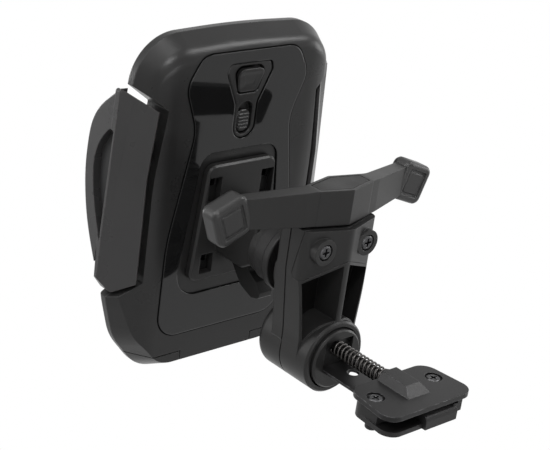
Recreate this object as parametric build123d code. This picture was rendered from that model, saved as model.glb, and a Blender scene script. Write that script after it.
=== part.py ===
from build123d import *
import math
import os

# Phone gripper cradle on a ball joint and a spring-tensioned slat clip.
# Lengths are in millimetres. Z is up, +Y points from the phone to the clip,
# and X = 0 is the plane of symmetry of the cradle and of the pull rod.

FAR = 99.0                   # half size of the blocks that only cut

# ---- cradle shells -------------------------------------------------------
CRADLE_TOP_Z = 48.0          # crown of the top edge
CRADLE_CROWN = 1.4           # rise of the crown over the corners
CRADLE_CROWN_R = 300.0
CRADLE_BOTTOM_Z = -58.0
TOP_HALF_WIDTH = 34.9
SIDE_HALF_WIDTH = 38.8
SIDE_LOW_Z = -29.0
KNEE_HALF_WIDTH = 34.1
KNEE_Z = -45.0
CHIN_HALF_WIDTH = 23.5
TOP_CORNER_R = 15.0
SIDE_LOW_R = 30.0
KNEE_R = 20.0
CHIN_R = 14.0
CRADLE_DEPTH = 10.4          # back plane at Y = 0 to the phone face
PARTING_DEPTH = 7.6          # parting line of the two shells
BACK_EDGE_R = 5.0            # round along the edge of the back, above the split
CROWN_X = 27.5               # the back is flat within this and slopes outside
CROWN_SIDE_X = 36.9
CROWN_DROP = 4.0             # drop of the back at CROWN_SIDE_X
CROWN_R = 18.0               # bend between the flat and the slope
FRONT_EDGE_R = 0.8
SHELL_WALL = 2.0             # wall at the back
FRONT_WALL = 1.6             # wall under the phone
SIDE_WALL = 6.6              # inset of the cavity, measured at the back wall
EDGE_SPLIT_Z = -26.0         # below this the edge of the back is crisp
SIDE_DRAFT = 4.1             # the side wall leans in by this over the rear shell

# ---- notches for the jaws ------------------------------------------------
NOTCH_TOP_Z = 27.2
NOTCH_TOP_X = 27.6
NOTCH_MID_X = 30.0
NOTCH_MID_Z = 6.0
NOTCH_BEND_R = 100.0
NOTCH_LOW_Z = -25.3
NOTCH_RISE = 5.3             # slanted ends of the notch, over its width
NOTCH_DROP = 6.0
NOTCH_WALL = 1.8

# ---- jaws ----------------------------------------------------------------
JAW_INNER_X = 31.6
JAW_BEND_Z = 6.0
JAW_BEND_R = 100.0
JAW_TOP_INNER_X = 29.6
JAW_TOP_INNER_Z = 26.4
JAW_TOP_OUTER_X = 39.0
JAW_TOP_OUTER_Z = 32.6
JAW_SIDE_X = 40.9
JAW_SIDE_Z = -10.0
JAW_SIDE_R = 60.0
JAW_LOW_X = 40.7
JAW_LOW_Z = -24.9
JAW_TIP_X = 37.6
JAW_TIP_Z = -29.0
JAW_BACK_Y = -0.7
JAW_BEVEL = 1.2
JAW_BEVEL_IN = 0.72
JAW_FLARE = 0.3              # the side leans out by this toward the phone
# Sections of the jaw down its length: height, inner X, ridge X and Y, side X and Y.
JAW_SECTIONS = (
    (36.0, 29.3, 34.9, -6.6, 38.5, -8.4),
    (29.0, 29.4, 35.6, -6.8, 39.2, -8.4),
    (6.5, 31.6, 38.2, -6.8, 40.4, -8.4),
    (-8.5, 31.6, 39.0, -6.8, 40.9, -8.4),
    (-21.5, 31.6, 37.2, -5.7, 40.9, -9.2),
    (-31.0, 31.6, 36.3, -5.1, 40.3, -9.7),
)
JAW_CLOSE = 0.6              # travel toward the middle
JAW_OPEN = 10.0              # travel outward
ARCH_X = 39.9                # outer face of the gripping arch at ARCH_PIVOT_Z
ARCH_PIVOT_Z = 6.0
ARCH_THICK = 2.4
ARCH_TILT = 2.55             # degrees, the arch leans out toward its foot
ARCH_BACK_Y = -8.6
# Edge of the arch and of the leaf-shaped opening, from the top down, as (Y, Z).
ARCH_EDGE = ((-8.6, 32.4), (-12.9, 28.5), (-17.0, 24.2), (-19.4, 19.4), (-20.2, 13.0),
             (-20.0, 6.0), (-18.9, -0.4), (-16.6, -8.0), (-13.9, -14.0), (-10.6, -20.0))
LEAF_EDGE = ((-9.0, 19.6), (-10.4, 20.1), (-12.7, 18.3), (-14.9, 14.9), (-16.2, 11.2),
             (-16.3, 6.2), (-15.4, 1.4), (-13.4, -4.4), (-11.3, -9.4), (-9.2, -13.4))
LEAF_DEPTH = 4.0
JAW_PAD_INNER_X = 33.6
JAW_PAD_TOP_Z = 24.5
JAW_PAD_LOW_Z = -14.5
JAW_PAD_FRONT_Y = -16.8
JAW_PAD_GAP_Y = 0.9          # gap between the phone face and the pad
JAW_PAD_GROOVES = 6

# ---- rack and pinion -----------------------------------------------------
GEAR_MODULE = 1.0
PINION_TEETH = 12
PINION_Z = 4.0
PINION_BORE_R = 2.0
TOOTH_SHARE = 0.38           # tooth width as a share of the pitch
GEAR_WIDTH = 2.4
GEAR_BACK_Y = -6.1
RACK_BODY = 4.6
RACK_REACH = 15.0            # how far each rack passes the middle
RACK_END_X = 33.4            # end of each rack, in a pocket of its jaw
RACK_TOOTH_REACH = 8.0
RACK_SLOT_CLEAR = 0.4
AXLE_CLEAR = 0.05
DRUM_R = 4.2
DRUM_WIDTH = 1.2

# ---- feet ----------------------------------------------------------------
FOOT_SEAM_Z = -51.0
FOOT_INNER_X = 14.0
FOOT_GAP = 0.3
FOOT_NICK = 2.8              # tapered slit beside each foot, width and height
FOOT_NICK_RISE = 3.4
CHIN_RELIEF_X = 3.5          # shallow relief in the middle of the bottom edge
CHIN_RELIEF = 0.7
FOOT_DRAW = 8.0              # how far each foot pulls down
FOOT_LIP_Y = -19.0
FOOT_LIP_THICK = 3.0
FOOT_LIP_X0 = 16.0
FOOT_LIP_X1 = 21.0
FOOT_STEM_X0 = 17.0
FOOT_STEM_X1 = 22.0
FOOT_STEM_TOP_Z = -35.5
FOOT_STEM_THICK = 2.6
FOOT_STEM_CLEAR = 0.3

# ---- trim on the back ----------------------------------------------------
PANEL_TOP_Z = 42.3
PANEL_BOTTOM_Z = -44.5
PANEL_HALF_WIDTH = 23.8
PANEL_WAIST_X = 17.4
PANEL_WAIST_Z = 20.0
PANEL_SHOULDER_X = 22.6
PANEL_SHOULDER_Z = 33.5
PANEL_INLAY = 0.8
PANEL_PROUD = 0.25
BEZEL_TOP_Z = 38.8
BEZEL_BOTTOM_Z = 15.7
BEZEL_HEAD_X = 8.7
BEZEL_STEM_X = 4.3
BEZEL_RIM = 0.8
BEZEL_FLOOR = 0.8
BEZEL_DEPTH = 2.0
BUTTON_TOP_Z = 37.2
BUTTON_BOTTOM_Z = 29.8
BUTTON_TOP_X = 5.4
BUTTON_BOTTOM_X = 3.7
BUTTON_CLEAR = 0.3
BUTTON_PRESS = 1.4
SLIDER_HALF_WIDTH = 2.6
SLIDER_LOW_Z = 17.9
SLIDER_HIGH_Z = 24.4
SLIDER_TRAVEL = 2.2
SLIDER_CLEAR = 0.3
SLIDER_RIBS = 5

# ---- receptacle and claw plate -------------------------------------------
RECESS_TOP_Z = 12.6
RECESS_BOTTOM_Z = -32.2
RECESS_TOP_X = 14.2
RECESS_BOTTOM_X = 19.6
RECESS_DEPTH = 3.4
RECESS_FLOOR = 1.2
FRAME_CLEAR = 0.1
FRAME_THICK = 1.5
FRAME_BACK_Y = -0.3
PLATE_TOP_Z = 9.3
PLATE_BOTTOM_Z = -27.0
PLATE_TOP_X = 12.7
PLATE_BOTTOM_X = 15.7
PLATE_BACK_Y = 2.3
PLATE_THICK = 2.2
CLAW_INNER_X = 8.2
CLAW_OUTER_X = 11.6
CLAW_UPPER_Z = 5.6
CLAW_LOWER_Z = -18.4
CLAW_STEM = 2.4
CLAW_TOE = 2.4
CLAW_TOE_THICK = 1.0
CLAW_CLEAR = 0.2
LIFT_OFF = 3.0               # travel that frees the claws
WINDOW_INNER_X = 7.5
WINDOW_OUTER_X = 12.2
UPPER_WINDOW_LOW_Z = -2.6
LOWER_WINDOW_LOW_Z = -24.6

# ---- ball joint ----------------------------------------------------------
BALL_Y = 23.4
BALL_Z = -11.0
BALL_R = 6.2
BALL_CLEAR = 0.05
CUP_WALL = 1.05
CUP_GAP = 0.9                # half of the space between the two halves of the bearing
CUP_BACK = 5.0
CUP_FRONT = 4.0
NECK_HALF_WIDTH = 7.0
NECK_HALF_HEIGHT = 7.6
NECK_FRONT_Y = 19.0
NECK_CUT_Y = 14.0            # its lower front corner is cut away from here
NECK_CUT = 3.0
NECK_EDGE_R = 0.8
NECK_R = 8.5
# Release tongue under the neck, as (Y, Z).
TONGUE_EDGE = ((3.2, -18.0), (4.0, -19.5), (8.5, -24.6), (10.5, -26.6), (15.5, -28.4),
               (18.5, -27.6), (18.8, -25.6), (16.8, -23.0), (13.2, -21.0), (11.0, -18.0))
TONGUE_HALF = 2.5
TONGUE_R = 0.6
RING_R = 10.3
RING_LOW_Y = 25.6
RING_FRONT_Y = 28.4
RING_SKIRT_R = 9.4
RING_SKIRT = 4.2
RING_FIT = 0.06
RING_EDGE_R = 0.6
STUD_NECK_R = 3.0
STUD_FLANGE_R = 6.0
STUD_FLANGE = 1.5
TILT_LIMIT_DEG = 10.0        # ---- arm -----------------------------------------------------------------
BOSS_Y = 31.2
BOSS_R = 10.2
BOSS_EDGE = 0.7
ARM_BACK_Y = 34.4
ARM_WALL_Y = 39.8            # floor of the pockets
ARM_TOP = 6.6
ARM_APEX = 49.2
ARM_APEX_R = 4.0
ARM_SHOULDER_X = 13.4
ARM_SHOULDER_Y = 44.6
ARM_SHOULDER_R = 2.5
ARM_TAPER_Z = -6.0
ARM_FOOT_Z = -26.0
ARM_FOOT_X = 10.9
ARM_BEND_R = 20.0
SEAM_Y = 38.6                # parting groove round the arm
SEAM = 0.4
RIB_WIDTH = 2.0
FRAME_WIDTH = 0.95           # rim of the arm outside its pockets
FRAME_DROP = 1.0             # rim between the cover and the pockets
FRAME_HUB = 0.5
COVER_WALL = 1.6
COVER_CLEAR = 0.15
COVER_EDGE_TOP_Y = 44.0
COVER_EDGE_LOW_Y = 41.2
COVER_EDGE_LOW_Z = -7.0
COVER_EDGE_TIP_Y = 42.4
COVER_EDGE_TIP_Z = -8.6
CHEVRON_Z = -2.7
CHEVRON_DROP = 5.5
COVER_BOSS_X = 7.95
COVER_BOSS_Z = 0.7
COVER_BOSS_R = 3.8
COVER_BOSS_OUT = 1.3
COVER_HEAD_CLEAR = 0.2
SCREW_HEAD_R = 2.2
SCREW_HEAD = 0.9
SCREW_SHANK_R = 1.2

# ---- wing bar ------------------------------------------------------------
WING_LOW_Z = 7.4
WING_TOP_Z = 17.6
WING_TIP_LOW_Z = 7.7
WING_TIP_TOP_Z = 15.9
WING_HEX_X = 10.2
WING_HEX_FRONT_Y = 47.2
WING_HEX_SHOULDER_Y = 44.3
WING_HEX_BACK_Y = 36.4
WING_HEX_HEEL_Y = 38.9
WING_TIP_X = 34.0
WING_TIP_Y = 36.6
WING_THICK = 3.8
WING_SPIGOT_INSET = 2.0
CAP_INSET = 0.9
CAP_THICK = 0.9
WING_PAD_INNER_X = 31.6
WING_PAD_OUTER_X = 39.6
WING_PAD_BACK_Y = 32.2
WING_PAD_FRONT_Y = 37.6
WING_PAD_LOW_Z = 4.5
WING_PAD_TOP_Z = 16.7        # ---- hub -----------------------------------------------------------------
HUB_Z = -32.3
HUB_R = 10.9
HUB_BACK_Y = 39.0
HUB_FRONT_Y = 49.6
HUB_EDGE = 0.6
HUB_FLOOR = 2.0
DISC_BORE_R = 9.3
DISC_JOURNAL_R = 9.24
DISC_FACE_R = 8.9
DISC_EDGE = 0.5
DISC_FRONT_Y = 50.8
DISC_JOURNAL = 5.0
DISC_GAP = 0.3
DISC_POCKET_X = 5.2
DISC_POCKET_TOP_Z = -26.1
DISC_POCKET_DEPTH = 1.4
STUD_R = 2.6                 # stud of the disc on which the knob turns
STUD_END_Y = 31.4
KNOB_R = 10.9
KNOB_BACK_Y = 28.5
KNOB_GAP = 0.4
KNOB_EDGE_R = 2.4
KNOB_SPIGOT_R = 4.0
KNOB_SPIGOT = 1.6
KNOB_FIT = 0.05
KNOB_GRIP_R = 7.4            # two half-round recesses with a bar between them
KNOB_GRIP_DEPTH = 2.0
KNOB_BAR = 3.6
NUT_R = 4.6
NUT_LENGTH = 4.0
NUT_BACK_Y = 31.8            # ---- guide rail, pull rod and spring -------------------------------------
RAIL_HALF_WIDTH = 5.0
RAIL_THICK = 0.8
RAIL_TOP_Z = -34.5
RAIL_FRONT_Y = 73.0
RAIL_ROOT_Y = 43.0
RAIL_HOLE_X = -1.8
RAIL_HOLE_Y = 55.9
RAIL_HOLE_R = 1.7
RAIL_CLEAR = 0.1
ROD_Z = -29.0
ROD_R = 1.5
ROD_BACK_Y = 48.0
ROD_BORE_Y = 41.8            # bottom of the blind bore in the disc
ROD_FRONT_Y = 78.0
ROD_FIT = 0.05
SLIDE_TRAVEL = 6.0           # how far the clip draws toward the hub
PIN_R = 0.8
PIN_Y = 75.5
PIN_LOW = 0.8                # floor left under the pin
SPRING_WIRE = 0.6
SPRING_MEAN_R = 2.05
SPRING_TURNS = 13
SPRING_SEAT = 0.05
SPRING_BOSS = 1.0
SPRING_BOSS_R = 2.6

# ---- clip ----------------------------------------------------------------
CLIP_BACK_Y = 70.0
BLOCK_DEPTH = 10.0
BLOCK_CORNER_R = 4.0
BASE_REACH = 6.0             # base, hook and plate beyond the front of the block
HOOK_REACH = 7.2
PLATE_REACH = 7.4
CLIP_PLATE_BACK_Y = 69.6
CLIP_PLATE_BACK_X = 14.6
CLIP_PLATE_FRONT_X = 16.6
CLIP_PLATE_Z = -29.4
CLIP_PLATE_THICK = 1.4
CLIP_PLATE_BACK_R = 4.5
CLIP_PLATE_FRONT_R = 4.0
RIDGE_HALF_WIDTH = 4.2
RIDGE_TOP_HALF = 2.6
RIDGE_HEIGHT = 2.2
RIDGE_BACK_Y = 70.2
RIDGE_FLAT_Y = 79.0
RIDGE_END_Y = 82.0
RIDGE_WALL = 1.0
RIDGE_ROOM = 2.8             # half width of the hollow under the ridge
RIB_HALF_WIDTH = 2.3         # rib of the block inside the ridge, round the rod
RIB_TOP_Z = -27.0
RIB_FRONT_Y = 78.6
CLIP_SCREW_X = 11.2
CLIP_SCREW_Y = 76.6
CLIP_RECESS_R = 2.5
CLIP_RECESS = 0.7
CLIP_SCREW_R = 2.1
CLIP_HOLE_FLOOR = 1.0
BLOCK_HALF_WIDTH = 13.2
CLIP_LOW_Z = -35.4
BASE_THICK = 1.4
BASE_FRONT_X = 14.2
BASE_CORNER_R = 4.0
HOOK_X0 = -10.6
HOOK_X1 = 1.6
HOOK_SHOULDER = 2.4          # flat top of the hook before it rounds over
HOOK_CORNER_R = 4.0
EAR_X0 = -13.0
EAR_X1 = -9.6
EAR_BACK = 3.4               # ear of the hook, measured from the front of the base's mouth
EAR_FRONT = 6.3
EAR_LOW_Z = -33.7
EAR_WINDOW_X0 = -11.2
EAR_WINDOW_X1 = -9.0
EAR_WINDOW = 1.6
NUB_X0 = 8.2
NUB_X1 = 11.8
NUB_Y = 75.8
NUB_DROP = 2.8
NUB_EDGE = 0.6

PHONE_PAD_HALF_WIDTH = 18.5
PHONE_PAD_HALF_HEIGHT = 38.0
PHONE_PAD_THICK = 0.8
SHELL_SCREW_TOP_X = 22.0
SHELL_SCREW_TOP_Z = 35.0
SHELL_SCREW_LOW_X = 10.0
SHELL_SCREW_LOW_Z = -43.5
SHELL_BOSS_R = 2.7

BLOCK_FRONT_Y = CLIP_BACK_Y + BLOCK_DEPTH
BASE_FRONT_Y = BLOCK_FRONT_Y + BASE_REACH
HOOK_FRONT_Y = BLOCK_FRONT_Y + HOOK_REACH
CLIP_PLATE_FRONT_Y = BLOCK_FRONT_Y + PLATE_REACH

# The origin is the middle of the clip's mouth, on the plane of symmetry.
ORIGIN = (0.0, (BLOCK_FRONT_Y + BASE_FRONT_Y) / 2, (CLIP_PLATE_Z + CLIP_LOW_Z + BASE_THICK) / 2)


# ---- helpers -------------------------------------------------------------
def rounded(points, radii):
    """Closed face through the points, each corner with its own radius."""
    return make_face(FilletPolyline(*points, radius=radii, close=True))


def symmetric(half, radii):
    """Face that is symmetric about X = 0, from its +X half, top to bottom."""
    points = list(half)
    corner = list(radii)
    for (x, z), r in zip(reversed(half), reversed(radii)):
        if x > 0:
            points.append((-x, z))
            corner.append(r)
    return rounded(points, corner)


def slab_x(face, low, high):
    """Extrude a YZ profile from X = low to X = high."""
    return extrude(Plane.YZ.offset(low) * face, amount=high - low)


def slab_y(face, low, high):
    """Extrude an XZ profile from Y = low to Y = high."""
    return extrude(Plane.XZ.offset(-high) * face, amount=high - low)


def slab_z(face, low, high):
    """Extrude an XY profile from Z = low to Z = high."""
    return extrude(Plane.XY.offset(low) * face, amount=high - low)


def block(x0, x1, y0, y1, z0, z1):
    """Plain box between the given coordinates."""
    middle = ((x0 + x1) / 2, (y0 + y1) / 2, (z0 + z1) / 2)
    return Pos(*middle) * Box(x1 - x0, y1 - y0, z1 - z0)


def rod_y(x, z, r, y0, y1):
    """Cylinder along Y."""
    return Pos(x, (y0 + y1) / 2, z) * Rot(90, 0, 0) * Cylinder(r, y1 - y0)


def rod_x(y, z, r, x0, x1):
    """Cylinder along X."""
    return Pos((x0 + x1) / 2, y, z) * Rot(0, 90, 0) * Cylinder(r, x1 - x0)


def rod_z(x, y, r, z0, z1):
    """Cylinder along Z."""
    return Pos(x, y, (z0 + z1) / 2) * Cylinder(r, z1 - z0)


def ball(r):
    """Sphere about the centre of the ball joint, poles along Y."""
    return Pos(0, BALL_Y, BALL_Z) * Rot(90, 0, 0) * Sphere(r)


def other_side(solid):
    """Mirror image across X = 0."""
    return mirror(solid, about=Plane.YZ)


def both_sides(solid):
    return solid + other_side(solid)


# ---- cradle outline ------------------------------------------------------
def cradle_outline():
    corner_z = CRADLE_TOP_Z - CRADLE_CROWN
    half = [
        (0, CRADLE_TOP_Z),
        (TOP_HALF_WIDTH, corner_z),
        (SIDE_HALF_WIDTH, SIDE_LOW_Z),
        (KNEE_HALF_WIDTH, KNEE_Z),
        (CHIN_HALF_WIDTH, CRADLE_BOTTOM_Z),
    ]
    return symmetric(half, [CRADLE_CROWN_R, TOP_CORNER_R, SIDE_LOW_R, KNEE_R, CHIN_R])


def crown_prism():
    """Space under the crowned back: flat in the middle, sloping toward the sides."""
    out = 2 * SIDE_HALF_WIDTH
    low = CROWN_DROP * (out - CROWN_X) / (CROWN_SIDE_X - CROWN_X)
    points = [(-out, -FAR), (-out, -low), (-CROWN_X, 0), (CROWN_X, 0), (out, -low), (out, -FAR)]
    return slab_z(rounded(points, [0, 0, CROWN_R, CROWN_R, 0, 0]), -FAR, FAR)


def cradle_crisp():
    """Whole cradle with leaning sides and a crisp edge along its crowned back."""
    body = slab_y(cradle_outline(), -CRADLE_DEPTH, 0)
    back = body.faces().sort_by(Axis.Y)[-1]
    body = chamfer(back.edges(), SIDE_DRAFT, PARTING_DEPTH, reference=back)
    front = body.faces().sort_by(Axis.Y)[0]
    body = fillet(front.edges(), FRONT_EDGE_R)
    return body & crown_prism()


def cradle_soft():
    """The same with the edge of the back rounded."""
    body = cradle_crisp()
    edges = [e for e in body.edges() if e.bounding_box().min.Y > -PARTING_DEPTH + 0.5]
    rim = ShapeList(edges) - ShapeList(edges).filter_by(Axis.Z)
    return fillet(rim, BACK_EDGE_R)


def cradle_outer():
    above = block(-FAR, FAR, -FAR, FAR, EDGE_SPLIT_Z, FAR)
    below = block(-FAR, FAR, -FAR, FAR, -FAR, EDGE_SPLIT_Z)
    return (cradle_soft() & above) + (cradle_crisp() & below)


def notch_face(grow=0.0):
    """Notch for the left jaw, open to the outside."""
    out = SIDE_HALF_WIDTH - NOTCH_TOP_X + JAW_OPEN
    rise = NOTCH_RISE / (TOP_HALF_WIDTH - NOTCH_TOP_X) * out
    drop = NOTCH_DROP / (SIDE_HALF_WIDTH - NOTCH_MID_X) * out
    points = [
        (NOTCH_TOP_X - grow, NOTCH_TOP_Z + grow),
        (NOTCH_TOP_X + out, NOTCH_TOP_Z + rise + grow),
        (NOTCH_MID_X + out, NOTCH_LOW_Z - drop - grow),
        (NOTCH_MID_X - grow, NOTCH_LOW_Z - grow),
        (NOTCH_MID_X - grow, NOTCH_MID_Z),
    ]
    return rounded(points, [0.6, 0, 0, 0.8, NOTCH_BEND_R])


def foot_region(grow=0.0):
    """Corner of the cradle that belongs to the left foot."""
    far = 2 * SIDE_HALF_WIDTH
    return block(FOOT_INNER_X - grow, far, -far, far, -far, FOOT_SEAM_Z + grow)


def cavity():
    """Inner space of the closed cradle, clear of notches and feet."""
    y0 = -CRADLE_DEPTH + FRONT_WALL
    room = slab_y(offset(cradle_outline(), -SIDE_WALL, kind=Kind.INTERSECTION), y0, -SHELL_WALL)
    room &= Pos(0, -SHELL_WALL, 0) * crown_prism()
    depth = CRADLE_DEPTH + SHELL_WALL
    walls = slab_y(notch_face(NOTCH_WALL), -depth, depth)
    room -= both_sides(walls)
    room -= both_sides(foot_region(SHELL_WALL + FOOT_GAP))
    return room


def screw_places():
    top = [(s * SHELL_SCREW_TOP_X, SHELL_SCREW_TOP_Z) for s in (-1, 1)]
    low = [(s * SHELL_SCREW_LOW_X, SHELL_SCREW_LOW_Z) for s in (-1, 1)]
    return top + low


# ---- rear shell ----------------------------------------------------------
def panel_outline():
    half = [
        (PANEL_SHOULDER_X - 5.0, PANEL_TOP_Z),
        (PANEL_SHOULDER_X, PANEL_SHOULDER_Z),
        (PANEL_WAIST_X, PANEL_WAIST_Z),
        (PANEL_HALF_WIDTH, PANEL_WAIST_Z - 34.0),
        (PANEL_HALF_WIDTH, PANEL_BOTTOM_Z),
    ]
    return symmetric(half, [6.0, 7.0, 14.0, 60.0, 7.5])


def bezel_outline(inset=0.0):
    half = [
        (BEZEL_HEAD_X - 0.8 - inset, BEZEL_TOP_Z - inset),
        (BEZEL_HEAD_X - inset, BEZEL_TOP_Z - 3.0),
        (BEZEL_STEM_X - inset, BUTTON_BOTTOM_Z - 3.4),
        (BEZEL_STEM_X - inset, BEZEL_BOTTOM_Z + inset),
    ]
    return symmetric(half, [1.6, 1.6, 4.0, (BEZEL_STEM_X - inset) * 0.95])


def recess_outline(inset=0.0):
    half = [
        (RECESS_TOP_X - inset, RECESS_TOP_Z - inset),
        (RECESS_BOTTOM_X - inset, RECESS_BOTTOM_Z + inset),
    ]
    return symmetric(half, [5.0 - inset, 8.0 - inset])


def rack_slot(z0, z1):
    """Opening through the notch wall for the rack of the left jaw."""
    c = RACK_SLOT_CLEAR
    y1 = GEAR_BACK_Y + c
    y0 = GEAR_BACK_Y - GEAR_WIDTH - c
    x0 = NOTCH_TOP_X - 3 * NOTCH_WALL
    return block(x0, JAW_INNER_X + c, y0, y1, z0 - c, z1 + c)


def rear_shell():
    shell = cradle_outer() & block(-FAR, FAR, -PARTING_DEPTH, FAR, -FAR, FAR)
    shell -= both_sides(slab_y(notch_face(), -2 * CRADLE_DEPTH, CRADLE_DEPTH))
    shell -= both_sides(foot_region(FOOT_GAP))
    shell -= cavity()
    floor_y = -RECESS_DEPTH - RECESS_FLOOR
    shell += slab_y(recess_outline(-RECESS_FLOOR), floor_y, -SHELL_WALL / 2)
    shell += slab_y(bezel_outline(-1.2), -BEZEL_DEPTH - 0.6, -SHELL_WALL / 2)
    shell -= slab_y(recess_outline(), -RECESS_DEPTH, CRADLE_DEPTH)
    shell -= slab_y(panel_outline(), -PANEL_INLAY, CRADLE_DEPTH)
    shell -= slab_y(bezel_outline(), -CRADLE_DEPTH, CRADLE_DEPTH)
    for x, z in screw_places():
        shell += rod_y(x, z, SHELL_BOSS_R, -PARTING_DEPTH, -SHELL_WALL / 2)
        shell -= rod_y(x, z, SCREW_SHANK_R, -PARTING_DEPTH, -SHELL_WALL)
    left = rack_slot(rack_low_z(), rack_low_z() + RACK_BODY)
    right = rack_slot(2 * PINION_Z - rack_low_z() - RACK_BODY, 2 * PINION_Z - rack_low_z())
    shell -= left + other_side(right)
    shell -= both_sides(foot_channel())
    shell += both_sides(pawl_lug())
    shell -= pawl_axle(PAWL_PIN_R)
    shell -= bottom_relief()
    return shell


def bottom_relief():
    """Tapered slits beside the feet and a shallow relief between them."""
    far = 2 * CRADLE_DEPTH
    low = CRADLE_BOTTOM_Z
    x1 = FOOT_INNER_X - FOOT_GAP
    x0 = x1 - FOOT_NICK
    points = [(x1, low - 1), (x1, low), ((x0 + x1) / 2, low + FOOT_NICK_RISE), (x0, low), (x0, low - 1)]
    nick = slab_y(make_face(Polyline(*points, close=True)), -far, far)
    x = CHIN_RELIEF_X
    points = [(x + 1, low - 1), (x + 1, low), (x, low + CHIN_RELIEF),
              (-x, low + CHIN_RELIEF), (-x - 1, low), (-x - 1, low - 1)]
    return both_sides(nick) + slab_y(make_face(Polyline(*points, close=True)), -far, far)


def front_shell():
    shell = cradle_outer() & block(-FAR, FAR, -FAR, -PARTING_DEPTH, -FAR, FAR)
    shell -= both_sides(slab_y(notch_face(), -2 * CRADLE_DEPTH, CRADLE_DEPTH))
    shell -= both_sides(foot_region(FOOT_GAP))
    shell -= cavity()
    shell += rod_y(0, PINION_Z, PINION_BORE_R - AXLE_CLEAR, -CRADLE_DEPTH + FRONT_WALL / 2,
                   -RECESS_DEPTH - RECESS_FLOOR)
    for x, z in screw_places():
        shell += rod_y(x, z, SHELL_BOSS_R, -CRADLE_DEPTH + FRONT_WALL / 2, -PARTING_DEPTH)
        shell -= rod_y(x, z, SCREW_SHANK_R, -CRADLE_DEPTH, CRADLE_DEPTH)
        shell -= rod_y(x, z, SCREW_HEAD_R + 0.2, -CRADLE_DEPTH - 1, -CRADLE_DEPTH + SCREW_HEAD + 0.1)
    left = rack_slot(rack_low_z(), rack_low_z() + RACK_BODY)
    right = rack_slot(2 * PINION_Z - rack_low_z() - RACK_BODY, 2 * PINION_Z - rack_low_z())
    shell -= left + other_side(right)
    shell -= bottom_relief()
    return shell


def shell_screws():
    y0 = -CRADLE_DEPTH + 0.1
    screws = None
    for x, z in screw_places():
        one = rod_y(x, z, SCREW_HEAD_R, y0, y0 + SCREW_HEAD)
        one += rod_y(x, z, SCREW_SHANK_R, y0 + SCREW_HEAD, -SHELL_WALL - 0.6)
        screws = one if screws is None else screws + one
    return screws


def phone_pad():
    w = PHONE_PAD_HALF_WIDTH
    h = PHONE_PAD_HALF_HEIGHT
    sheet = rounded([(-w, -h), (w, -h), (w, h), (-w, h)], 6.0)
    pad = slab_y(sheet, -CRADLE_DEPTH - PHONE_PAD_THICK, -CRADLE_DEPTH)
    face = pad.faces().sort_by(Axis.Y)[0]
    return chamfer(face.edges(), PHONE_PAD_THICK / 2)


# ---- gloss panel, bezel, button and slider -------------------------------
def gloss_panel():
    panel = slab_y(panel_outline(), -PANEL_INLAY, PANEL_PROUD)
    panel -= slab_y(recess_outline(), -CRADLE_DEPTH, CRADLE_DEPTH)
    panel -= slab_y(bezel_outline(), -CRADLE_DEPTH, CRADLE_DEPTH)
    return panel


def button_face(grow=0.0):
    half = [
        (BUTTON_TOP_X + grow, BUTTON_TOP_Z + grow),
        (BUTTON_BOTTOM_X + grow, BUTTON_BOTTOM_Z - grow),
    ]
    return symmetric(half, [1.2 + grow, 0.9 + grow])


def slider_slot():
    w = SLIDER_HALF_WIDTH + SLIDER_CLEAR
    z0 = SLIDER_LOW_Z - SLIDER_CLEAR
    z1 = SLIDER_HIGH_Z + SLIDER_TRAVEL + SLIDER_CLEAR
    return rounded([(-w, z0), (w, z0), (w, z1), (-w, z1)], 0.8)


def keyhole_bezel():
    floor_y = -BEZEL_DEPTH
    bezel = slab_y(bezel_outline(), floor_y, PANEL_PROUD + 0.45)
    bezel -= slab_y(bezel_outline(BEZEL_RIM), floor_y + BEZEL_FLOOR, CRADLE_DEPTH)
    bezel -= slab_y(button_face(BUTTON_CLEAR), -CRADLE_DEPTH, CRADLE_DEPTH)
    bezel -= slab_y(slider_slot(), -CRADLE_DEPTH, CRADLE_DEPTH)
    return bezel


def release_button():
    """Push tab with a scooped face and a raised top edge."""
    crest_y = PANEL_PROUD + 1.1
    button = slab_y(button_face(), -BEZEL_DEPTH - 1.0, crest_y)
    scoop_r = 9.0
    scoop = rod_x(crest_y + scoop_r - 1.6, BUTTON_BOTTOM_Z + 1.6, scoop_r, -20, 20)
    button -= scoop
    return button


def lock_slider():
    """Small slide switch with grip ribs across it."""
    w = SLIDER_HALF_WIDTH
    height = SLIDER_HIGH_Z - SLIDER_LOW_Z
    cap = rounded([(-w, SLIDER_LOW_Z), (w, SLIDER_LOW_Z), (w, SLIDER_HIGH_Z), (-w, SLIDER_HIGH_Z)], 0.7)
    top_y = PANEL_PROUD - 0.4
    slider = slab_y(cap, -BEZEL_DEPTH - 0.2, top_y)
    pitch = height / (SLIDER_RIBS + 1)
    for i in range(SLIDER_RIBS):
        z = SLIDER_LOW_Z + pitch * (i + 1)
        slider += rod_x(top_y, z, 0.35, -w + 0.4, w - 0.4)
    return slider


# ---- receptacle frame ----------------------------------------------------
def claw_slot(stem_z):
    c = CLAW_CLEAR
    z0 = stem_z - LIFT_OFF - 2 * c
    z1 = stem_z + CLAW_STEM + c
    return block(CLAW_INNER_X - c, CLAW_OUTER_X + c, -CRADLE_DEPTH, CRADLE_DEPTH, z0, z1)


def receptacle_frame():
    frame = slab_y(recess_outline(FRAME_CLEAR), -RECESS_DEPTH, FRAME_BACK_Y)
    hollow = slab_y(recess_outline(FRAME_CLEAR + 1.2), -RECESS_DEPTH, FRAME_BACK_Y - FRAME_THICK)
    frame -= hollow
    slots = claw_slot(CLAW_UPPER_Z) + claw_slot(CLAW_LOWER_Z)
    return frame - both_sides(slots)


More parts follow.
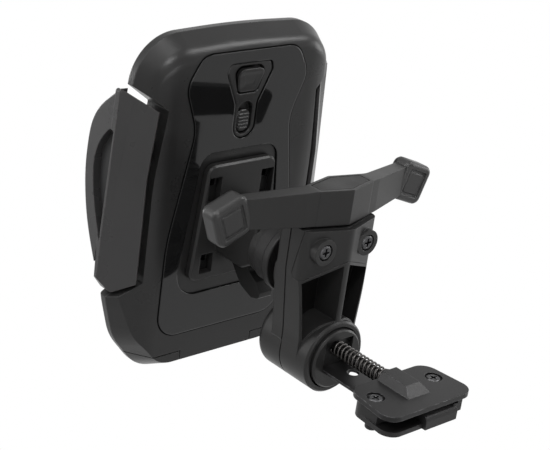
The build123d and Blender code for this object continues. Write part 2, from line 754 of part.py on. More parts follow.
# ---- jaws ----------------------------------------------------------------
def jaw_side_face():
    """Jaw seen from behind, with slanted ends along the notch."""
    points = [
        (JAW_INNER_X, JAW_LOW_Z),
        (JAW_INNER_X, JAW_BEND_Z),
        (JAW_TOP_INNER_X, JAW_TOP_INNER_Z),
        (JAW_TOP_OUTER_X, JAW_TOP_OUTER_Z),
        (JAW_SIDE_X, JAW_SIDE_Z),
        (JAW_LOW_X, JAW_LOW_Z),
        (JAW_TIP_X, JAW_TIP_Z),
    ]
    return rounded(points, [0.5, JAW_BEND_R, 0.5, 0.8, JAW_SIDE_R, 0.8, 0.8])


def jaw_section(z, inner, ridge_x, ridge_y, side_x, side_y):
    """Section of the jaw across its length, at one height."""
    slope = (JAW_BACK_Y - ridge_y) / (ridge_x - inner)
    points = [
        (inner, -CRADLE_DEPTH),
        (inner, JAW_BACK_Y - JAW_BEVEL),
        (inner + JAW_BEVEL_IN, JAW_BACK_Y - JAW_BEVEL_IN * slope),
        (ridge_x, ridge_y),
        (side_x, side_y),
        (side_x + JAW_FLARE, -CRADLE_DEPTH),
    ]
    return Plane.XY.offset(z) * make_face(Polyline(*points, close=True))


def leaning_slab(face, x0, x1):
    """Slab across X that leans with the gripping arch; X is counted from its outer face."""
    lean = Pos(ARCH_X, 0, ARCH_PIVOT_Z) * Rot(0, -ARCH_TILT, 0) * Pos(0, 0, -ARCH_PIVOT_Z)
    return lean * slab_x(face, x0, x1)


def bowed_face(edge):
    """Face in the YZ plane between a bowed edge and the line joining its ends."""
    bow = Spline(*edge)
    return make_face(Curve() + bow + Line(edge[-1], edge[0]))


def jaw_solid():
    """Faceted jaw with the gripping arch and its leaf-shaped opening."""
    jaw = loft([jaw_section(*row) for row in JAW_SECTIONS], ruled=True)
    jaw &= slab_y(jaw_side_face(), -CRADLE_DEPTH, 0)
    jaw += leaning_slab(bowed_face(ARCH_EDGE), -ARCH_THICK, 0)
    return jaw - leaning_slab(bowed_face(LEAF_EDGE), -LEAF_DEPTH, FAR)


def rack_pocket(z0):
    """Pocket of a jaw for the end of its rack."""
    y1 = GEAR_BACK_Y
    return block(0, RACK_END_X, y1 - GEAR_WIDTH, y1, z0, z0 + RACK_BODY)


def left_jaw():
    return jaw_solid() - rack_pocket(rack_low_z())


def right_jaw():
    return other_side(jaw_solid() - rack_pocket(2 * PINION_Z - rack_low_z() - RACK_BODY))


def left_pad():
    """Grip pad on the inner face of the arch, with cross grooves."""
    y1 = -CRADLE_DEPTH - JAW_PAD_GAP_Y
    y0 = JAW_PAD_FRONT_Y
    side = rounded([(y0, JAW_PAD_LOW_Z + 3), (y0, JAW_PAD_TOP_Z - 5), (y1, JAW_PAD_TOP_Z),
                    (y1, JAW_PAD_LOW_Z)], 0.8)
    pad = slab_x(side, JAW_PAD_INNER_X, ARCH_X)
    pad &= leaning_slab(bowed_face(ARCH_EDGE), -ARCH_X, -ARCH_THICK)
    pitch = (JAW_PAD_TOP_Z - JAW_PAD_LOW_Z) / (JAW_PAD_GROOVES + 1)
    for i in range(JAW_PAD_GROOVES):
        z = JAW_PAD_LOW_Z + pitch * (i + 1)
        pad -= block(JAW_PAD_INNER_X - 1, JAW_PAD_INNER_X + 0.6, -30, 0, z - 0.6, z + 0.6)
    return pad


def right_pad():
    return other_side(left_pad())


# ---- racks and pinion ----------------------------------------------------
def pitch_r():
    return GEAR_MODULE * PINION_TEETH / 2


def rack_low_z():
    """Lower side of the left rack's body, above its teeth."""
    return PINION_Z + pitch_r() + 1.1 * GEAR_MODULE


def rack_tooth():
    """Trapezoid tooth that points down from the rack body."""
    pitch = math.pi * GEAR_MODULE
    half_root = TOOTH_SHARE * pitch / 2 + 1.1 * GEAR_MODULE * math.tan(math.radians(20))
    half_tip = TOOTH_SHARE * pitch / 2 - 0.8 * GEAR_MODULE * math.tan(math.radians(20))
    z_root = rack_low_z()
    z_tip = PINION_Z + pitch_r() - 0.8 * GEAR_MODULE
    points = [(-half_root, z_root + 0.2), (-half_tip, z_tip), (half_tip, z_tip), (half_root, z_root + 0.2)]
    return Polygon(*points, align=None)


def left_rack():
    """Rack of the left jaw: a bar with teeth, a foot on the jaw and a guide tongue."""
    y1 = GEAR_BACK_Y
    y0 = y1 - GEAR_WIDTH
    z0 = rack_low_z()
    rack = block(-RACK_REACH, RACK_END_X, y0, y1, z0, z0 + RACK_BODY)
    pitch = math.pi * GEAR_MODULE
    tooth = slab_y(rack_tooth(), y0, y1)
    first = math.ceil((-RACK_REACH + 1.2) / pitch)
    last = math.floor(RACK_TOOTH_REACH / pitch)
    for i in range(first, last + 1):
        rack += Pos(i * pitch, 0, 0) * tooth
    for i in range(5):
        x = 4.0 - 2.0 * i
        notch = Polygon((x - 0.7, y1), (x + 0.7, y1), (x + 0.7, y1 - 0.6), align=None)
        rack -= slab_z(notch, z0 + 2.4, z0 + RACK_BODY + 1)
    return rack


def right_rack():
    """The same rack turned half round about the pinion's axis, without ratchet notches."""
    y1 = GEAR_BACK_Y
    y0 = y1 - GEAR_WIDTH
    z0 = rack_low_z()
    rack = block(-RACK_REACH, RACK_END_X, y0, y1, z0, z0 + RACK_BODY)
    pitch = math.pi * GEAR_MODULE
    tooth = slab_y(rack_tooth(), y0, y1)
    first = math.ceil((-RACK_REACH + 1.2) / pitch)
    last = math.floor(RACK_TOOTH_REACH / pitch)
    for i in range(first, last + 1):
        rack += Pos(i * pitch, 0, 0) * tooth
    return Pos(0, 0, PINION_Z) * Rot(0, 180, 0) * Pos(0, 0, -PINION_Z) * rack


def pinion_face():
    """Spur gear profile with straight flanks, one gap facing each rack tooth at rest."""
    r_out = pitch_r() + 0.8 * GEAR_MODULE
    r_root = pitch_r() - 1.1 * GEAR_MODULE
    step = 2 * math.pi / PINION_TEETH
    half_pitch = TOOTH_SHARE * step / 2
    half_tip = half_pitch * 0.5
    half_root = half_pitch * 1.45
    points = []
    for i in range(PINION_TEETH):
        middle = math.pi / 2 + step * (i + 0.5)
        for r, a in ((r_root, -half_root), (r_out, -half_tip), (r_out, half_tip), (r_root, half_root)):
            points.append((r * math.cos(middle + a), r * math.sin(middle + a)))
    return make_face(Polyline(*points, close=True))


def pinion():
    y1 = GEAR_BACK_Y
    gear = slab_y(Pos(0, PINION_Z) * pinion_face(), y1 - GEAR_WIDTH, y1)
    return gear - rod_y(0, PINION_Z, PINION_BORE_R, -20, 20)


def pinion_drum():
    """Coiled band spring's drum, which turns with the pinion."""
    y0 = GEAR_BACK_Y
    drum = rod_y(0, PINION_Z, DRUM_R, y0, y0 + DRUM_WIDTH)
    return drum - rod_y(0, PINION_Z, PINION_BORE_R, -20, 20)


# ---- release pawl --------------------------------------------------------
PAWL_PIN_Y = -5.1
PAWL_PIN_Z = 22.4
PAWL_PIN_R = 0.8
PAWL_HALF_WIDTH = 3.2
PAWL_THICK = 0.9
PAWL_TOP_Z = 35.0
PAWL_NOSE_CLEAR = 0.3
PAWL_LUG_GAP = 0.3
PAWL_LUG = 1.4


def pawl_lug():
    """Lug of the rear shell that holds the pawl's pin."""
    x0 = PAWL_HALF_WIDTH + PAWL_LUG_GAP
    back = PAWL_PIN_Y - PAWL_PIN_R - 0.9
    return block(x0, x0 + PAWL_LUG, back, -SHELL_WALL, PAWL_PIN_Z - 1.8, PAWL_PIN_Z + 1.8)


def pawl_axle(r):
    reach = PAWL_HALF_WIDTH + PAWL_LUG_GAP + PAWL_LUG
    return rod_x(PAWL_PIN_Y, PAWL_PIN_Z, r, -reach, reach)


def pawl_pin():
    return pawl_axle(PAWL_PIN_R)


def release_pawl():
    """Rocking lever under the release button, with a ratchet nose over the left rack."""
    nose_y = GEAR_BACK_Y + PAWL_NOSE_CLEAR
    nose_z = RECESS_TOP_Z + RECESS_FLOOR + PAWL_LUG_GAP + 0.1
    y1 = nose_y + PAWL_THICK
    lever = block(-PAWL_HALF_WIDTH, PAWL_HALF_WIDTH, nose_y, y1, nose_z, PAWL_TOP_Z)
    lever += rod_x(PAWL_PIN_Y, PAWL_PIN_Z, PAWL_PIN_R + 0.8, -PAWL_HALF_WIDTH, PAWL_HALF_WIDTH)
    button_low_y = -BEZEL_DEPTH - 1.0
    lever += block(-PAWL_HALF_WIDTH, PAWL_HALF_WIDTH, nose_y, button_low_y - 0.3,
                   BUTTON_BOTTOM_Z + 1.2, PAWL_TOP_Z)
    return lever - pawl_axle(PAWL_PIN_R + AXLE_CLEAR)


# ---- feet ----------------------------------------------------------------
def foot_stem():
    y1 = -SHELL_WALL - 1.2
    return block(FOOT_STEM_X0, FOOT_STEM_X1, y1 - FOOT_STEM_THICK, y1, FOOT_SEAM_Z - 1, FOOT_STEM_TOP_Z)


def foot_channel():
    """Slot in the bottom wall that the foot's stem slides through."""
    c = FOOT_STEM_CLEAR
    y1 = -SHELL_WALL - 1.2 + c
    y0 = y1 - FOOT_STEM_THICK - 2 * c
    low = FOOT_SEAM_Z - 1
    return block(FOOT_STEM_X0 - c, FOOT_STEM_X1 + c, y0, y1, low, FOOT_SEAM_Z + 2 * SHELL_WALL)


def left_foot():
    """Corner of the cradle that draws down, with a lip under the phone."""
    foot = cradle_outer() & foot_region()
    foot &= block(-FAR, FAR, -FAR, FAR, CRADLE_BOTTOM_Z + 0.5, FAR)
    foot += foot_stem()
    lip_z = CRADLE_BOTTOM_Z + 0.5
    lip = block(FOOT_LIP_X0, FOOT_LIP_X1, FOOT_LIP_Y, -CRADLE_DEPTH + 1, lip_z, lip_z + FOOT_LIP_THICK)
    lip += block(FOOT_LIP_X0, FOOT_LIP_X1, FOOT_LIP_Y, FOOT_LIP_Y + 2.4, lip_z, lip_z + 2 * FOOT_LIP_THICK)
    lip = fillet(lip.edges().filter_by(Axis.X), 1.0)
    return foot + lip


def right_foot():
    return other_side(left_foot())


# ---- claw plate with neck ------------------------------------------------
def plate_outline():
    half = [(PLATE_TOP_X, PLATE_TOP_Z), (PLATE_BOTTOM_X, PLATE_BOTTOM_Z)]
    return symmetric(half, [3.0, 3.0])


def claw(stem_z):
    """Hook through a slot of the receptacle frame, toe upward behind the frame."""
    plate_y = PLATE_BACK_Y - PLATE_THICK
    toe_y = FRAME_BACK_Y - FRAME_THICK - CLAW_CLEAR
    stem = block(CLAW_INNER_X, CLAW_OUTER_X, toe_y, plate_y + 0.5, stem_z, stem_z + CLAW_STEM)
    toe = block(CLAW_INNER_X, CLAW_OUTER_X, toe_y - CLAW_TOE_THICK, toe_y,
                stem_z, stem_z + CLAW_STEM + CLAW_TOE)
    return stem + toe


def neck():
    """Square neck behind the socket, its round end, and the release tongue under it."""
    z0 = BALL_Z - NECK_HALF_HEIGHT
    z1 = BALL_Z + NECK_HALF_HEIGHT
    y0 = PLATE_BACK_Y - 0.2
    side = [(y0, z0), (NECK_CUT_Y, z0), (NECK_FRONT_Y, z0 + NECK_CUT), (NECK_FRONT_Y, z1), (y0, z1)]
    bracket = slab_x(rounded(side, [0, 1.0, 1.0, 1.5, 0]), -NECK_HALF_WIDTH, NECK_HALF_WIDTH)
    bracket = fillet(bracket.edges().filter_by(Axis.Y), NECK_EDGE_R)
    bracket += rod_y(0, BALL_Z, NECK_R, NECK_FRONT_Y - 1.0, BALL_Y)
    radii = [0] + [TONGUE_R] * (len(TONGUE_EDGE) - 2) + [0]
    return bracket + slab_x(rounded(TONGUE_EDGE, radii), -TONGUE_HALF, TONGUE_HALF)


def claw_plate():
    low_y = PLATE_BACK_Y - PLATE_THICK
    plate = slab_y(plate_outline(), low_y, PLATE_BACK_Y)
    plate = chamfer(plate.faces().sort_by(Axis.Y)[-1].edges(), 0.6)
    upper = block(WINDOW_INNER_X, WINDOW_OUTER_X, -9, 9, UPPER_WINDOW_LOW_Z, CLAW_UPPER_Z)
    lower = block(WINDOW_INNER_X, WINDOW_OUTER_X, -9, 9, LOWER_WINDOW_LOW_Z, CLAW_LOWER_Z)
    plate -= both_sides(upper + lower)
    plate += both_sides(claw(CLAW_UPPER_Z) + claw(CLAW_LOWER_Z))
    plate += neck()
    return plate - ball(BALL_R + BALL_CLEAR + CUP_WALL)


def cup(low_y, high_y):
    """Half of the split bearing around the ball."""
    shell = ball(BALL_R + BALL_CLEAR + CUP_WALL - 0.05) - ball(BALL_R + BALL_CLEAR)
    return shell & block(-20, 20, low_y, high_y, BALL_Z - 20, BALL_Z + 20)


def rear_cup():
    return cup(BALL_Y - CUP_BACK, BALL_Y - CUP_GAP)


def front_cup():
    return cup(BALL_Y + CUP_GAP, BALL_Y + CUP_FRONT)


def ring_nut():
    """Clamping ring with a spherical seat that is open to the front."""
    ring = rod_y(0, BALL_Z, RING_R, RING_LOW_Y, RING_FRONT_Y)
    ring = fillet(ring.edges().filter_by(GeomType.CIRCLE), RING_EDGE_R)
    ring += rod_y(0, BALL_Z, RING_SKIRT_R, RING_LOW_Y - RING_SKIRT, RING_LOW_Y + RING_EDGE_R)
    ring -= rod_y(0, BALL_Z, NECK_R + RING_FIT, 0, BALL_Y + 0.1)
    return ring - ball(BALL_R + BALL_CLEAR + CUP_WALL + 0.05)


def ball_stud():
    stud = ball(BALL_R)
    stud += rod_y(0, BALL_Z, STUD_NECK_R, BALL_Y + BALL_R / 2, BOSS_Y + STUD_FLANGE)
    stud += rod_y(0, BALL_Z, STUD_FLANGE_R, BOSS_Y, BOSS_Y + STUD_FLANGE)
    return stud


# ---- arm -----------------------------------------------------------------
def arm_plan(inset=0.0):
    """Plan of the arm: straight sides and a blunt wedge toward the clip."""
    slope = (ARM_APEX - ARM_SHOULDER_Y) / ARM_SHOULDER_X
    back = inset * math.hypot(1, slope)
    half = [
        (0, ARM_APEX - back),
        (ARM_SHOULDER_X - inset, ARM_SHOULDER_Y - back + slope * inset),
        (ARM_SHOULDER_X - inset, ARM_BACK_Y),
    ]
    return symmetric(half, [ARM_APEX_R, ARM_SHOULDER_R, 1.0])


def arm_front_face(inset=0.0):
    """Arm seen along Y, narrowing from the shoulders to the hub."""
    half = [
        (ARM_SHOULDER_X - inset, ARM_TOP),
        (ARM_SHOULDER_X - inset, ARM_TAPER_Z),
        (ARM_FOOT_X - inset, ARM_FOOT_Z),
        (ARM_FOOT_X - inset, HUB_Z),
    ]
    return symmetric(half, [0, ARM_BEND_R, ARM_BEND_R, 0])


def chevron_slope():
    return CHEVRON_DROP / ARM_SHOULDER_X


def arm_pocket():
    """Left pocket of the arm, between the middle rib, the side and the hub."""
    x0 = RIB_WIDTH / 2
    x1 = ARM_SHOULDER_X - FRAME_WIDTH
    x2 = ARM_FOOT_X - FRAME_WIDTH
    top = CHEVRON_Z - FRAME_DROP
    points = [
        (x0, top - chevron_slope() * x0),
        (x1, top - chevron_slope() * x1),
        (x2, ARM_FOOT_Z),
        (x2, HUB_Z),
        (x0, HUB_Z),
    ]
    face = make_face(Polyline(*points, close=True)) - Pos(0, HUB_Z) * Circle(HUB_R + FRAME_HUB)
    return slab_y(face, ARM_WALL_Y, FAR)


def arm_body():
    arm = slab_z(arm_plan(), HUB_Z, ARM_TOP)
    arm -= cover_zone(COVER_CLEAR) - slab_z(arm_plan(COVER_WALL + COVER_CLEAR), HUB_Z, FAR)
    arm &= slab_y(arm_front_face(), 0, FAR)
    arm -= slab_y(arm_front_face(-1.0) - arm_front_face(SEAM), SEAM_Y, SEAM_Y + SEAM)
    arm += rod_y(0, BALL_Z, BOSS_R, BOSS_Y, ARM_WALL_Y)
    arm -= both_sides(arm_pocket())
    hub = rod_y(0, HUB_Z, HUB_R, HUB_BACK_Y, HUB_FRONT_Y)
    arm += chamfer(hub.faces().sort_by(Axis.Y)[-1].edges(), HUB_EDGE)
    arm -= rod_y(0, HUB_Z, KNOB_R + KNOB_GAP, 0, HUB_BACK_Y)
    arm -= rod_y(0, HUB_Z, DISC_BORE_R, HUB_BACK_Y + HUB_FLOOR, FAR)
    arm -= rod_y(0, HUB_Z, KNOB_SPIGOT_R + KNOB_FIT, 0, HUB_FRONT_Y)
    arm -= rod_y(0, BALL_Z, STUD_FLANGE_R, 0, BOSS_Y + STUD_FLANGE)
    for x in (-COVER_BOSS_X, COVER_BOSS_X):
        arm -= rod_y(x, COVER_BOSS_Z, SCREW_SHANK_R, ARM_WALL_Y, FAR)
    return arm


def cover_zone(grow=0.0):
    """Part of the arm above the chevron and in front of the cover's slanted rear edge."""
    out = ARM_SHOULDER_X + 4.0
    low = CHEVRON_Z - grow
    chevron = [(-out, FAR), (out, FAR), (out, low - chevron_slope() * out), (0, low),
               (-out, low - chevron_slope() * out)]
    edge = [(COVER_EDGE_TOP_Y - grow, ARM_TOP), (COVER_EDGE_LOW_Y - grow, COVER_EDGE_LOW_Z),
            (COVER_EDGE_TIP_Y - grow, COVER_EDGE_TIP_Z - grow), (FAR, COVER_EDGE_TIP_Z - grow),
            (FAR, ARM_TOP)]
    side = slab_x(make_face(Polyline(*edge, close=True)), -out, out)
    return side & slab_y(make_face(Polyline(*chevron, close=True)), 0, FAR)


def arm_cover():
    """Screwed cover wrapped round the front of the arm."""
    low = CHEVRON_Z - 2 * CHEVRON_DROP
    cover = slab_z(arm_plan(), low, ARM_TOP)
    for x in (-COVER_BOSS_X, COVER_BOSS_X):
        cover += rod_y(x, COVER_BOSS_Z, COVER_BOSS_R, ARM_SHOULDER_Y - 2, cover_boss_y())
    cover -= slab_z(arm_plan(COVER_WALL), low - 1, FAR)
    cover &= cover_zone()
    for x in (-COVER_BOSS_X, COVER_BOSS_X):
        cover -= rod_y(x, COVER_BOSS_Z, SCREW_SHANK_R, 0, FAR)
        cover -= rod_y(x, COVER_BOSS_Z, SCREW_HEAD_R + COVER_HEAD_CLEAR, cover_boss_y() - SCREW_HEAD, FAR)
    return cover


def cover_boss_y():
    """Front face of a screw boss, clear of the slanted cover face."""
    slope = (ARM_APEX - ARM_SHOULDER_Y) / ARM_SHOULDER_X
    return ARM_APEX - slope * COVER_BOSS_X + COVER_BOSS_OUT


def cover_screws():
    screws = None
    y1 = cover_boss_y() + 0.1
    for x in (-COVER_BOSS_X, COVER_BOSS_X):
        one = rod_y(x, COVER_BOSS_Z, SCREW_HEAD_R, y1 - SCREW_HEAD, y1)
        one += rod_y(x, COVER_BOSS_Z, SCREW_SHANK_R, ARM_WALL_Y + 0.4, y1 - SCREW_HEAD)
        screws = one if screws is None else screws + one
    return screws


# ---- wing bar ------------------------------------------------------------
def hex_face(inset=0.0):
    k = inset
    half = [
        (0, WING_HEX_FRONT_Y - k),
        (WING_HEX_X - k, WING_HEX_SHOULDER_Y - 0.7 * k),
        (WING_HEX_X - k, WING_HEX_HEEL_Y + 0.7 * k),
        (0, WING_HEX_BACK_Y + k),
    ]
    return symmetric(half, [0.4, 0.6, 0.6, 1.5])


def wing_plan():
    """Left arm of the wing bar seen from above."""
    points = [
        (0, WING_HEX_FRONT_Y - 0.3),
        (WING_HEX_X + 3.4, WING_HEX_SHOULDER_Y - 1.0),
        (WING_TIP_X, WING_TIP_Y),
        (WING_TIP_X, WING_TIP_Y - WING_THICK),
        (WING_HEX_X + 2.0, WING_HEX_SHOULDER_Y - WING_THICK - 1.5),
        (0, WING_HEX_BACK_Y + 2.0),
    ]
    return rounded(points, [0, 3.0, 0.6, 0.6, 8.0, 0])


def wing_front_face():
    """Left arm of the wing bar seen along Y, tapering to the tip."""
    points = [
        (-1, WING_LOW_Z),
        (WING_HEX_X, WING_LOW_Z),
        (WING_TIP_X + 1, WING_TIP_LOW_Z),
        (WING_TIP_X + 1, WING_TIP_TOP_Z),
        (WING_HEX_X, WING_TOP_Z),
        (-1, WING_TOP_Z),
    ]
    return make_face(Polyline(*points, close=True))


def wing_arm():
    low = min(WING_LOW_Z, WING_TIP_LOW_Z)
    arm = slab_z(wing_plan(), low - 1, WING_TOP_Z + 1)
    return arm & slab_y(wing_front_face(), 0, 99)


def wing_bar():
    bar = slab_z(hex_face(), WING_LOW_Z, WING_TOP_Z)
    bar += both_sides(wing_arm())
    bar += slab_z(hex_face(WING_SPIGOT_INSET), ARM_TOP, WING_LOW_Z)
    return bar - slab_z(hex_face(CAP_INSET), WING_TOP_Z - CAP_THICK, WING_TOP_Z + 1)


def wing_cap():
    cap = slab_z(hex_face(CAP_INSET + 0.15), WING_TOP_Z - CAP_THICK, WING_TOP_Z)
    return chamfer(cap.faces().sort_by(Axis.Z)[-1].edges(), 0.2)


def left_wing_pad():
    """Rubber pad that leans on the grille, seated on the tip of the wing bar."""
    points = [
        (WING_PAD_INNER_X, WING_PAD_LOW_Z),
        (WING_PAD_OUTER_X - 1.8, WING_PAD_LOW_Z),
        (WING_PAD_OUTER_X, WING_PAD_LOW_Z + 3.6),
        (WING_PAD_OUTER_X, WING_PAD_TOP_Z - 1.0),
        (WING_PAD_INNER_X, WING_PAD_TOP_Z),
    ]
    pad = slab_y(rounded(points, [0.8, 1.2, 1.2, 0.8, 0.8]), WING_PAD_BACK_Y, WING_PAD_FRONT_Y)
    pad = chamfer(pad.faces().sort_by(Axis.Y)[-1].edges(), 0.7)
    pad = chamfer(pad.faces().sort_by(Axis.Y)[0].edges(), 0.5)
    x0 = WING_PAD_INNER_X + 2.0
    x1 = WING_PAD_OUTER_X - 2.0
    z0 = WING_PAD_LOW_Z + 2.2
    z1 = WING_PAD_TOP_Z - 2.2
    dent = rounded([(x0, z0), (x1, z0), (x1, z1), (x0, z1)], 0.5)
    pad -= slab_y(dent, WING_PAD_FRONT_Y - 0.5, WING_PAD_FRONT_Y + 1)
    return pad - wing_arm()


def right_wing_pad():
    return other_side(left_wing_pad())


# ---- hub, knob and rail --------------------------------------------------
def hub_disc():
    """Disc with the blind bore of the pull rod and the stud on which the knob turns."""
    back = HUB_BACK_Y + HUB_FLOOR + DISC_GAP
    disc = rod_y(0, HUB_Z, DISC_FACE_R, back, DISC_FRONT_Y)
    disc = chamfer(disc.faces().sort_by(Axis.Y)[-1].edges(), DISC_EDGE)
    disc += rod_y(0, HUB_Z, DISC_JOURNAL_R, back, back + DISC_JOURNAL)
    disc += rod_y(0, HUB_Z, STUD_R, STUD_END_Y, back)
    x = DISC_POCKET_X
    pocket_y = DISC_FRONT_Y - DISC_POCKET_DEPTH
    disc -= block(-x, x, pocket_y, DISC_FRONT_Y + 1, RAIL_TOP_Z - 0.01, DISC_POCKET_TOP_Z)
    w = RAIL_HALF_WIDTH
    disc -= block(-w, w, RAIL_ROOT_Y, DISC_FRONT_Y + 1, RAIL_TOP_Z - RAIL_THICK, RAIL_TOP_Z)
    return disc - rod_y(0, ROD_Z, ROD_R + ROD_FIT, ROD_BORE_Y, FAR)


def guide_rail():
    """Flat steel strip that keeps the clip square to the hub."""
    w = RAIL_HALF_WIDTH
    rail = block(-w, w, RAIL_ROOT_Y, RAIL_FRONT_Y, RAIL_TOP_Z - RAIL_THICK, RAIL_TOP_Z)
    return rail - rod_z(RAIL_HOLE_X, RAIL_HOLE_Y, RAIL_HOLE_R, RAIL_TOP_Z - 5, RAIL_TOP_Z + 5)


def tension_knob():
    """Knob with two half-round grip recesses and a bar between them."""
    front = HUB_BACK_Y - KNOB_GAP
    knob = rod_y(0, HUB_Z, KNOB_R, KNOB_BACK_Y, front)
    knob = fillet(knob.faces().sort_by(Axis.Y)[0].edges(), KNOB_EDGE_R)
    knob += rod_y(0, HUB_Z, KNOB_SPIGOT_R, front, HUB_BACK_Y + KNOB_SPIGOT)
    moons = Circle(KNOB_GRIP_R) - Rectangle(3 * KNOB_GRIP_R, KNOB_BAR)
    knob -= slab_y(Pos(0, HUB_Z) * moons, KNOB_BACK_Y - 1, KNOB_BACK_Y + KNOB_GRIP_DEPTH)
    knob -= nut_body()
    return knob - rod_y(0, HUB_Z, STUD_R + KNOB_FIT, STUD_END_Y - KNOB_GAP, FAR)


def nut_body():
    hexagon = Pos(0, HUB_Z) * RegularPolygon(NUT_R, 6)
    return slab_y(hexagon, NUT_BACK_Y, NUT_BACK_Y + NUT_LENGTH)


def knob_nut():
    return nut_body() - rod_y(0, HUB_Z, STUD_R + KNOB_FIT, 0, FAR)


# ---- rod and spring ------------------------------------------------------
def pull_rod():
    rod = rod_y(0, ROD_Z, ROD_R, ROD_BACK_Y, ROD_FRONT_Y)
    rod = chamfer(rod.faces().sort_by(Axis.Y)[0].edges(), 0.3)
    return rod - rod_z(0, PIN_Y, PIN_R, HUB_Z - 9, HUB_Z + 9)


def rod_pin():
    return rod_z(0, PIN_Y, PIN_R, RAIL_TOP_Z + PIN_LOW, RIB_TOP_Z - 0.1)


def spring_length():
    seat = DISC_FRONT_Y - DISC_POCKET_DEPTH
    return CLIP_BACK_Y - SPRING_BOSS - seat - 2 * SPRING_SEAT


def tension_spring():
    """Compression spring as one helical tube on biarcs of half a turn."""
    start = DISC_FRONT_Y - DISC_POCKET_DEPTH + SPRING_SEAT + SPRING_WIRE / 2
    length = spring_length() - SPRING_WIRE
    pitch = length / SPRING_TURNS
    path = helix_path(SPRING_MEAN_R, pitch, SPRING_TURNS)
    wire = Plane(origin=path @ 0, z_dir=path % 0) * Circle(SPRING_WIRE / 2)
    tube = sweep(wire, path=path)
    report_gap(SPRING_MEAN_R, pitch, SPRING_TURNS)
    return Pos(0, start, ROD_Z) * Rot(-90, 0, 0) * tube


def helix_point(r, pitch, turn):
    a = 2 * math.pi * turn
    return Vector(r * math.cos(a), r * math.sin(a), pitch * turn)


def helix_slope(r, pitch, turn):
    a = 2 * math.pi * turn
    return Vector(-r * math.sin(a), r * math.cos(a), pitch / (2 * math.pi)).normalized()


def helix_path(r, pitch, turns):
    """Helix made of two tangent arcs for each half turn."""
    arcs = []
    steps = int(turns * 2)
    for i in range(steps):
        t0 = i / 2
        t1 = (i + 1) / 2
        p0 = helix_point(r, pitch, t0)
        p1 = helix_point(r, pitch, t1)
        d0 = helix_slope(r, pitch, t0)
        d1 = helix_slope(r, pitch, t1)
        arcs += biarc(p0, d0, p1, d1)
    return Wire(arcs)


def biarc(p0, d0, p1, d1):
    """Two arcs, tangent to each other and to the end directions."""
    chord = p1 - p0
    both = d0 + d1
    square = both.dot(both) - 4
    mid = chord.dot(both)
    root = math.sqrt(mid * mid - square * chord.dot(chord))
    reach = (-mid + root) / square if square > 0 else (mid - root) / -square
    reach = abs(reach)
    a = p0 + d0 * reach
    b = p1 - d1 * reach
    join = (a + b) * 0.5
    first = Edge.make_tangent_arc(p0, d0, join)
    second = Edge.make_tangent_arc(join, (b - a).normalized(), p1)
    return [first, second]


def report_gap(r, pitch, turns):
    """Print the least gap between neighbouring turns, measured on points."""
    count = 48
    points = [helix_point(r, pitch, i / count) for i in range(int(turns * count) + 1)]
    least = 1e9
    for i in range(0, len(points), 4):
        for j in range(i + count // 2, min(i + 2 * count, len(points))):
            least = min(least, (points[i] - points[j]).length)
    print("least gap of the spring to itself", round(least - SPRING_WIRE, 3))


# ---- clip ----------------------------------------------------------------
def clip_plate():
    """Bent steel plate over the clip with a raised ridge along its middle."""
    points = [
        (-CLIP_PLATE_BACK_X, CLIP_PLATE_BACK_Y),
        (CLIP_PLATE_BACK_X, CLIP_PLATE_BACK_Y),
        (CLIP_PLATE_FRONT_X, CLIP_PLATE_FRONT_Y),
        (-CLIP_PLATE_FRONT_X, CLIP_PLATE_FRONT_Y),
    ]
    top = CLIP_PLATE_Z + CLIP_PLATE_THICK
    radii = [CLIP_PLATE_BACK_R, CLIP_PLATE_BACK_R, CLIP_PLATE_FRONT_R, CLIP_PLATE_FRONT_R]
    plate = slab_z(rounded(points, radii), CLIP_PLATE_Z, top)
    plate += ridge()
    room = RIDGE_ROOM
    plate -= block(-room, room, 0, RIDGE_FLAT_Y, CLIP_PLATE_Z - 1, top + RIDGE_HEIGHT - RIDGE_WALL)
    for x in (-CLIP_SCREW_X, CLIP_SCREW_X):
        plate -= rod_z(x, CLIP_SCREW_Y, CLIP_RECESS_R, top - CLIP_RECESS, top + 1)
        plate -= rod_z(x, CLIP_SCREW_Y, SCREW_SHANK_R, CLIP_PLATE_Z - 1, top)
    return plate


def ridge():
    """Ridge with sloping sides and a sloping front end."""
    top = CLIP_PLATE_Z + CLIP_PLATE_THICK + RIDGE_HEIGHT
    flat = CLIP_PLATE_Z + CLIP_PLATE_THICK
    low = CLIP_PLATE_Z + CLIP_PLATE_THICK / 2
    side = [(RIDGE_BACK_Y, low), (RIDGE_BACK_Y, top), (RIDGE_FLAT_Y, top), (RIDGE_END_Y, flat),
            (RIDGE_END_Y, low)]
    w = RIDGE_HALF_WIDTH
    half = RIDGE_TOP_HALF
    across = [(-w, low), (-w, flat), (-half, top), (half, top), (w, flat), (w, low)]
    prism = slab_y(make_face(Polyline(*across, close=True)), 0, FAR)
    return prism & slab_x(make_face(Polyline(*side, close=True)), -w, w)


